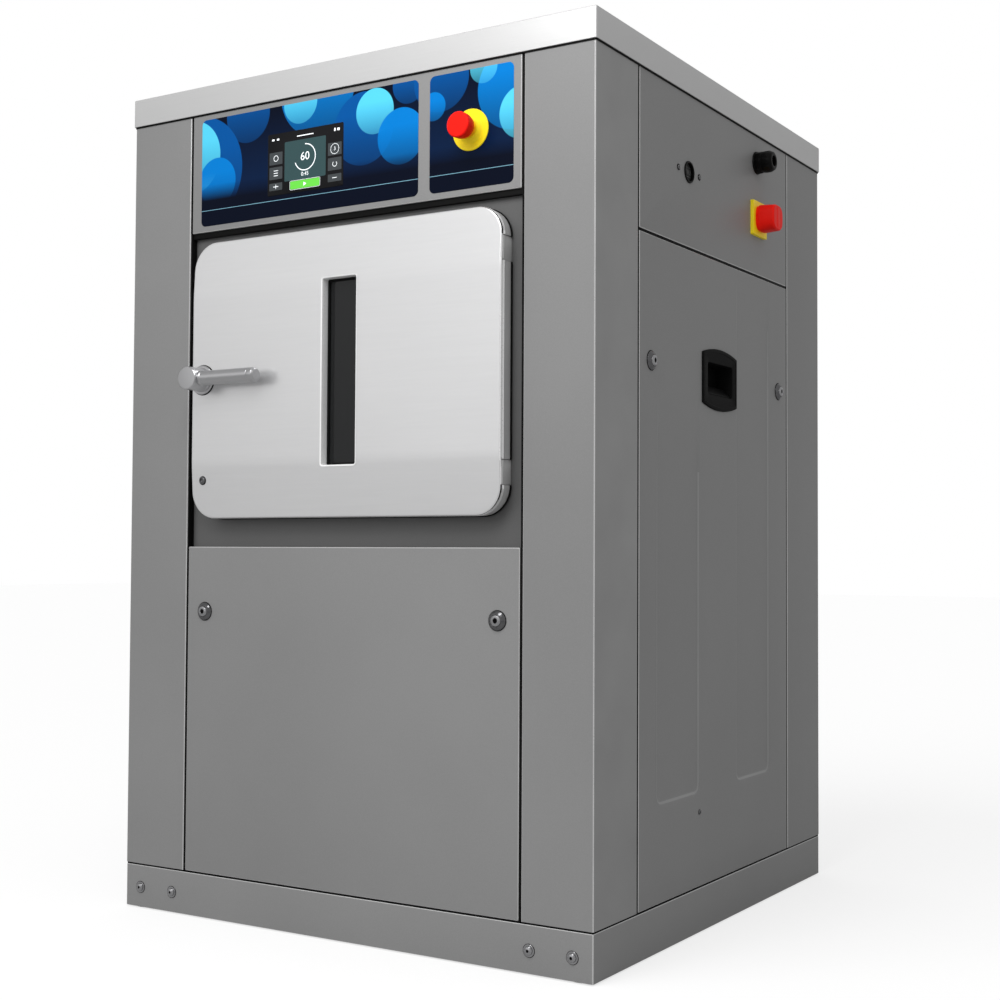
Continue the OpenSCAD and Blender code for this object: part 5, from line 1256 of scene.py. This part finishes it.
def grip_shape():
    """A domed flange round a deep pocket, with a ramp at its foot."""
    work = bmesh.new()
    lip = GRIP_T - GRIP_DISH
    _, flange = loft(work, grip_outline, [(0, 0), (0, 1.6), (0.5, 2.5), (1.6, GRIP_T), (5.5, GRIP_T), (6.4, lip)])
    mouth, floor_ring = loft(work, round_rect(POCKET_W, POCKET_H, 5, 4),
                             [(-1.2, lip), (-0.4, lip - 0.3), (0, lip - 1.2), (0.4, lip - POCKET_DEPTH)])
    fill_between(work, flange, mouth)
    work.faces.new(floor_ring)
    low, top, half = POCKET_H / 2 - 0.6, lip - 3, POCKET_W / 2 - 0.5
    ramp = [(-low, -POCKET_DEPTH, 0), (-low, top, 0), (3 - low, top - 1, 0), (POCKET_RAMP - low, top - 14, 0),
            (POCKET_RAMP + 4 - low, -POCKET_DEPTH, 0)]
    section = [(p.x, p.y) for p in softened(ramp, 2, closed=True)]
    along = Matrix(((0, 0, 1, 0), (1, 0, 0, 0), (0, 1, 0, 0), (0, 0, 0, 1)))
    return joined(shape_of(work), moved(stacked(lambda inset: section, [(0, -half), (0, half)]), along))


grip_place = at("right", SIDE_X, GRIP_Y, GRIP_Z)
grips = [moved(grip_shape(), flip @ grip_place) for flip in (IDENTITY, MIRROR_X)]
piece("grip_mouldings", joined(*grips), "grip_black", "cabinet", angle=30, replaces="side_grips")


# Door bellows, suspension springs and drive belt

BELLOWS_R = 52
# (inset from the flange's edge, distance from the machine's middle) round the section
BELLOWS_SECTION = [
    (0.4, 433.7), (12.6, 433.7), (12.6, 436.4), (13.6, 437.3), (17, 437.3), (18.4, 436.2), (20.6, 436.2), (22, 437.3),
    (26.4, 437.3), (28, 435.6), (28, 433), (24.6, 429.6), (28, 426.2), (24.6, 422.8), (28, 419.4), (24.6, 416),
    (28, 412.6), (28, 405.7), (27.6, 405.3), (9.4, 405.3), (9, 405.7), (9, 414.9), (9.4, 415.3), (19.6, 415.3),
    (19.8, 416), (23.2, 419.4), (19.8, 422.8), (23.2, 426.2), (19.8, 429.6), (20, 431.2), (0.4, 431.2), (0, 431.6),
    (0, 433.3),
]
COIL_R, COIL_WIRE, COIL_TURNS, COIL_STEPS, COIL_SIDES = 33, 10, 8, 28, 12
BELT_T, BELT_RIB, BELT_RIBS, BELT_STEPS = 5, 2, 6, 48


def bellows():
    """Folded rubber between each port and the tub's neck."""
    low, high = box_mm("door_bellows")
    x, z = (low.x + high.x) / 2, (low.z + high.z) / 2
    section = [(p.x, p.y) for p in softened([(i, h, 0) for i, h in BELLOWS_SECTION], 1.2, 2, closed=True)]
    shape = stacked(round_rect(high.x - low.x, high.z - low.z, BELLOWS_R, 10), [*section, section[0]], False)
    for end, _, flip in ENDS:
        made = piece(f"{end}_bellows", shape, "bellows_rubber", None, flip @ at("front", x, 0, z), angle=50,
                     replaces="door_bellows" if end == "load" else None)
        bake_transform(made)


def coil(low, high):
    """A round-wire spring with closed ground ends, along local Z."""
    points, faces = [], []
    for k in range(COIL_TURNS * COIL_STEPS + 1):
        turn = k / COIL_STEPS
        start, rest = min(turn, 1), min(COIL_TURNS - turn, 1)
        lift = COIL_WIRE * (start - rest + 1) / 2
        active = (high - low - 2 * COIL_WIRE) * min(1, max(0, (turn - 1) / (COIL_TURNS - 2)))
        level = low + COIL_WIRE / 2 + lift * (start + rest) / 2 + active
        angle = 2 * math.pi * turn
        for a in (2 * math.pi * i / COIL_SIDES for i in range(COIL_SIDES)):
            radius = COIL_R + COIL_WIRE / 2 * math.cos(a)
            height = level + COIL_WIRE / 2 * math.sin(a)
            points.append((radius * math.cos(angle), radius * math.sin(angle), min(high, max(low, height))))
    rows = [range(i, i + COIL_SIDES) for i in range(0, len(points), COIL_SIDES)]
    for row, after in zip(rows, rows[1:]):
        faces += band(row, after)
    return points, [*faces, tuple(rows[0]), tuple(rows[-1])]


def springs():
    low, high = box_mm("suspension_springs")
    inset = COIL_R + COIL_WIRE / 2
    for side, x in (("left", low.x + inset), ("right", high.x - inset)):
        for end, y in (("front", low.y + inset), ("rear", high.y - inset)):
            made = piece(f"spring_{end}_{side}", coil(low.z, high.z), "spring_steel", None, shift(x, y, 0), angle=50,
                         replaces="suspension_springs" if (side, end) == ("left", "front") else None)
            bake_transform(made)


def belt():
    """Ribbed belt round the drum's and the motor's pulleys."""
    low, high = box_mm("drive_belt")
    drum, motor = (Vector((a.y + b.y, a.z + b.z)) / 2 for a, b in map(box_mm, ("drum_pulley", "motor_pulley")))
    r_drum, r_motor = high.z - drum.y, motor.y - low.z
    away = motor - drum
    aim = math.atan2(away.y, away.x)
    wrap = math.acos((r_drum - r_motor) / away.length)

    def loop(inset):
        points = []
        for centre, radius, start, sweep in ((drum, r_drum - inset, aim + wrap, 2 * math.pi - 2 * wrap),
                                             (motor, r_motor - inset, aim - wrap, 2 * wrap)):
            for a in (start + sweep * k / BELT_STEPS for k in range(BELT_STEPS + 1)):
                points.append((centre.x + radius * math.cos(a), centre.y + radius * math.sin(a)))
        return points

    root, pitch = BELT_T - BELT_RIB, (high.x - low.x - 1) / BELT_RIBS
    profile = [(0.3, low.x), (0, low.x + 0.3), (0, high.x - 0.3), (0.3, high.x), (root, high.x)]
    for k in range(BELT_RIBS):
        edge = high.x - 0.5 - pitch * k
        profile += [(root, edge), (BELT_T, edge - pitch * 0.3), (BELT_T, edge - pitch * 0.7)]
    profile += [(root, low.x + 0.5), (root, low.x), (0.3, low.x)]
    piece("ribbed_belt", stacked(loop, profile, False), "belt_rubber", "tub", at("right", 0, 0, 0),
          replaces="drive_belt")


bellows()
springs()
belt()


# Stage: floor, world, lamps and camera

FLOOR_HALF = 20
FLOOR_SEEN = 0.8
FLOOR_GLOW, GLOW_SHARE = 1.3, 0.52
AMBIENT = 0.60
GLOSS_DARK, GLOSS_BRIGHT = 0.5, 1.0
GLOSS_AIM = Vector((-0.35, -0.92, 0.30)).normalized()
GLOSS_SPREAD = (0.86, 0.985)
KEY_STRENGTH, KEY_SOFT = 1.1, 48
KEY_AIM = Vector((0.45, 1.0, -0.75))
FILL_PLACE, FILL_AIM = Vector((0.40, -1.5, 1.95)), Vector((0.36, -0.45, 1.2))
FILL_SIZE, FILL_POWER = 0.8, 11
CAMERA_PLACE = Vector((1470.14, -2340.49, 601.40)) * MM
CAMERA_YAW, CAMERA_PITCH, CAMERA_ROLL = (math.radians(a) for a in (31.853, 1.988, 0.289))
CAMERA_LENS = 55.05
CAMERA_SENSOR = 36


def floor():
    """Pale floor: the camera sees it white with the shadow kept, and it bounces less light."""
    mesh = bpy.data.meshes.new("floor")
    mesh.from_pydata([(x * FLOOR_HALF, y * FLOOR_HALF, 0) for x, y in ((-1, -1), (1, -1), (1, 1), (-1, 1))], [],
                     [(0, 1, 2, 3)])
    linked("floor", mesh)
    g = shader("floor", grey(0.5), 0.9)
    pale = g.node("BsdfDiffuse", {"Color": shade(grey(FLOOR_SEEN), 1)})
    glow = g.node("Emission", {"Strength": FLOOR_GLOW})
    seen = g.node("MixShader", {0: GLOW_SHARE, 1: pale, 2: glow})
    path = g.nodes.new("ShaderNodeLightPath").outputs
    straight = g.math("MAXIMUM", path["Is Camera Ray"], path["Is Transmission Ray"])
    g.put(g.nodes["Material Output"].inputs["Surface"],
          g.node("MixShader", {0: straight, 1: g.surface.outputs["BSDF"], 2: seen}))
    mesh.materials.append(g.owner)


def world():
    """White to the camera, soft grey as light, and a bright front left in reflections."""
    g = Graph(bpy.data.worlds.new("studio"))
    scene.world = g.owner
    aim = g.node("VectorMath", {0: g.node("TexCoord", {}, "Generated"), 1: GLOSS_AIM}, "Value",
                 operation="DOT_PRODUCT")
    spread = g.ramp(aim, GLOSS_DARK, GLOSS_BRIGHT, *GLOSS_SPREAD, interpolation_type="SMOOTHSTEP")
    path = g.nodes.new("ShaderNodeLightPath").outputs
    level = g.mix(path["Is Glossy Ray"], AMBIENT, spread, "FLOAT")
    for ray in ("Is Transmission Ray", "Is Camera Ray"):
        level = g.mix(path[ray], level, 1.0, "FLOAT")
    g.put(g.nodes["Background"].inputs["Strength"], level)
    g.nodes["Background"].inputs["Color"].default_value = (1, 1, 1, 1)


def lamp(kind, name, strength, aim):
    made = linked(name, bpy.data.lights.new(name, kind))
    made.data.energy = strength
    made.rotation_mode = "QUATERNION"
    made.rotation_quaternion = aim.to_track_quat("-Z", "Y")
    return made


def lamps():
    """A broad sun from the front left, and a soft panel towards the upper right of the front."""
    key = lamp("SUN", "key", KEY_STRENGTH, KEY_AIM)
    key.data.angle = math.radians(KEY_SOFT)
    key.visible_glossy = False
    fill = lamp("AREA", "fill", FILL_POWER, FILL_AIM - FILL_PLACE)
    fill.data.size = FILL_SIZE
    fill.location = FILL_PLACE
    fill.visible_camera = False


def camera():
    """The photo's view, fitted to the cabinet's corners."""
    made = scene.camera = linked("camera", bpy.data.cameras.new("camera"))
    made.data.lens = CAMERA_LENS
    made.data.sensor_width = CAMERA_SENSOR
    ahead = Vector((-math.sin(CAMERA_YAW) * math.cos(CAMERA_PITCH),
                    math.cos(CAMERA_YAW) * math.cos(CAMERA_PITCH), math.sin(CAMERA_PITCH)))
    level = Vector((math.cos(CAMERA_YAW), math.sin(CAMERA_YAW), 0))
    above = level.cross(ahead)
    right = level * math.cos(CAMERA_ROLL) + above * math.sin(CAMERA_ROLL)
    up = above * math.cos(CAMERA_ROLL) - level * math.sin(CAMERA_ROLL)
    made.matrix_world = Matrix([*[list(row) for row in zip(right, up, -ahead, CAMERA_PLACE)], [0, 0, 0, 1]])


floor()
world()
lamps()
camera()
scene.view_settings.view_transform = "Standard"
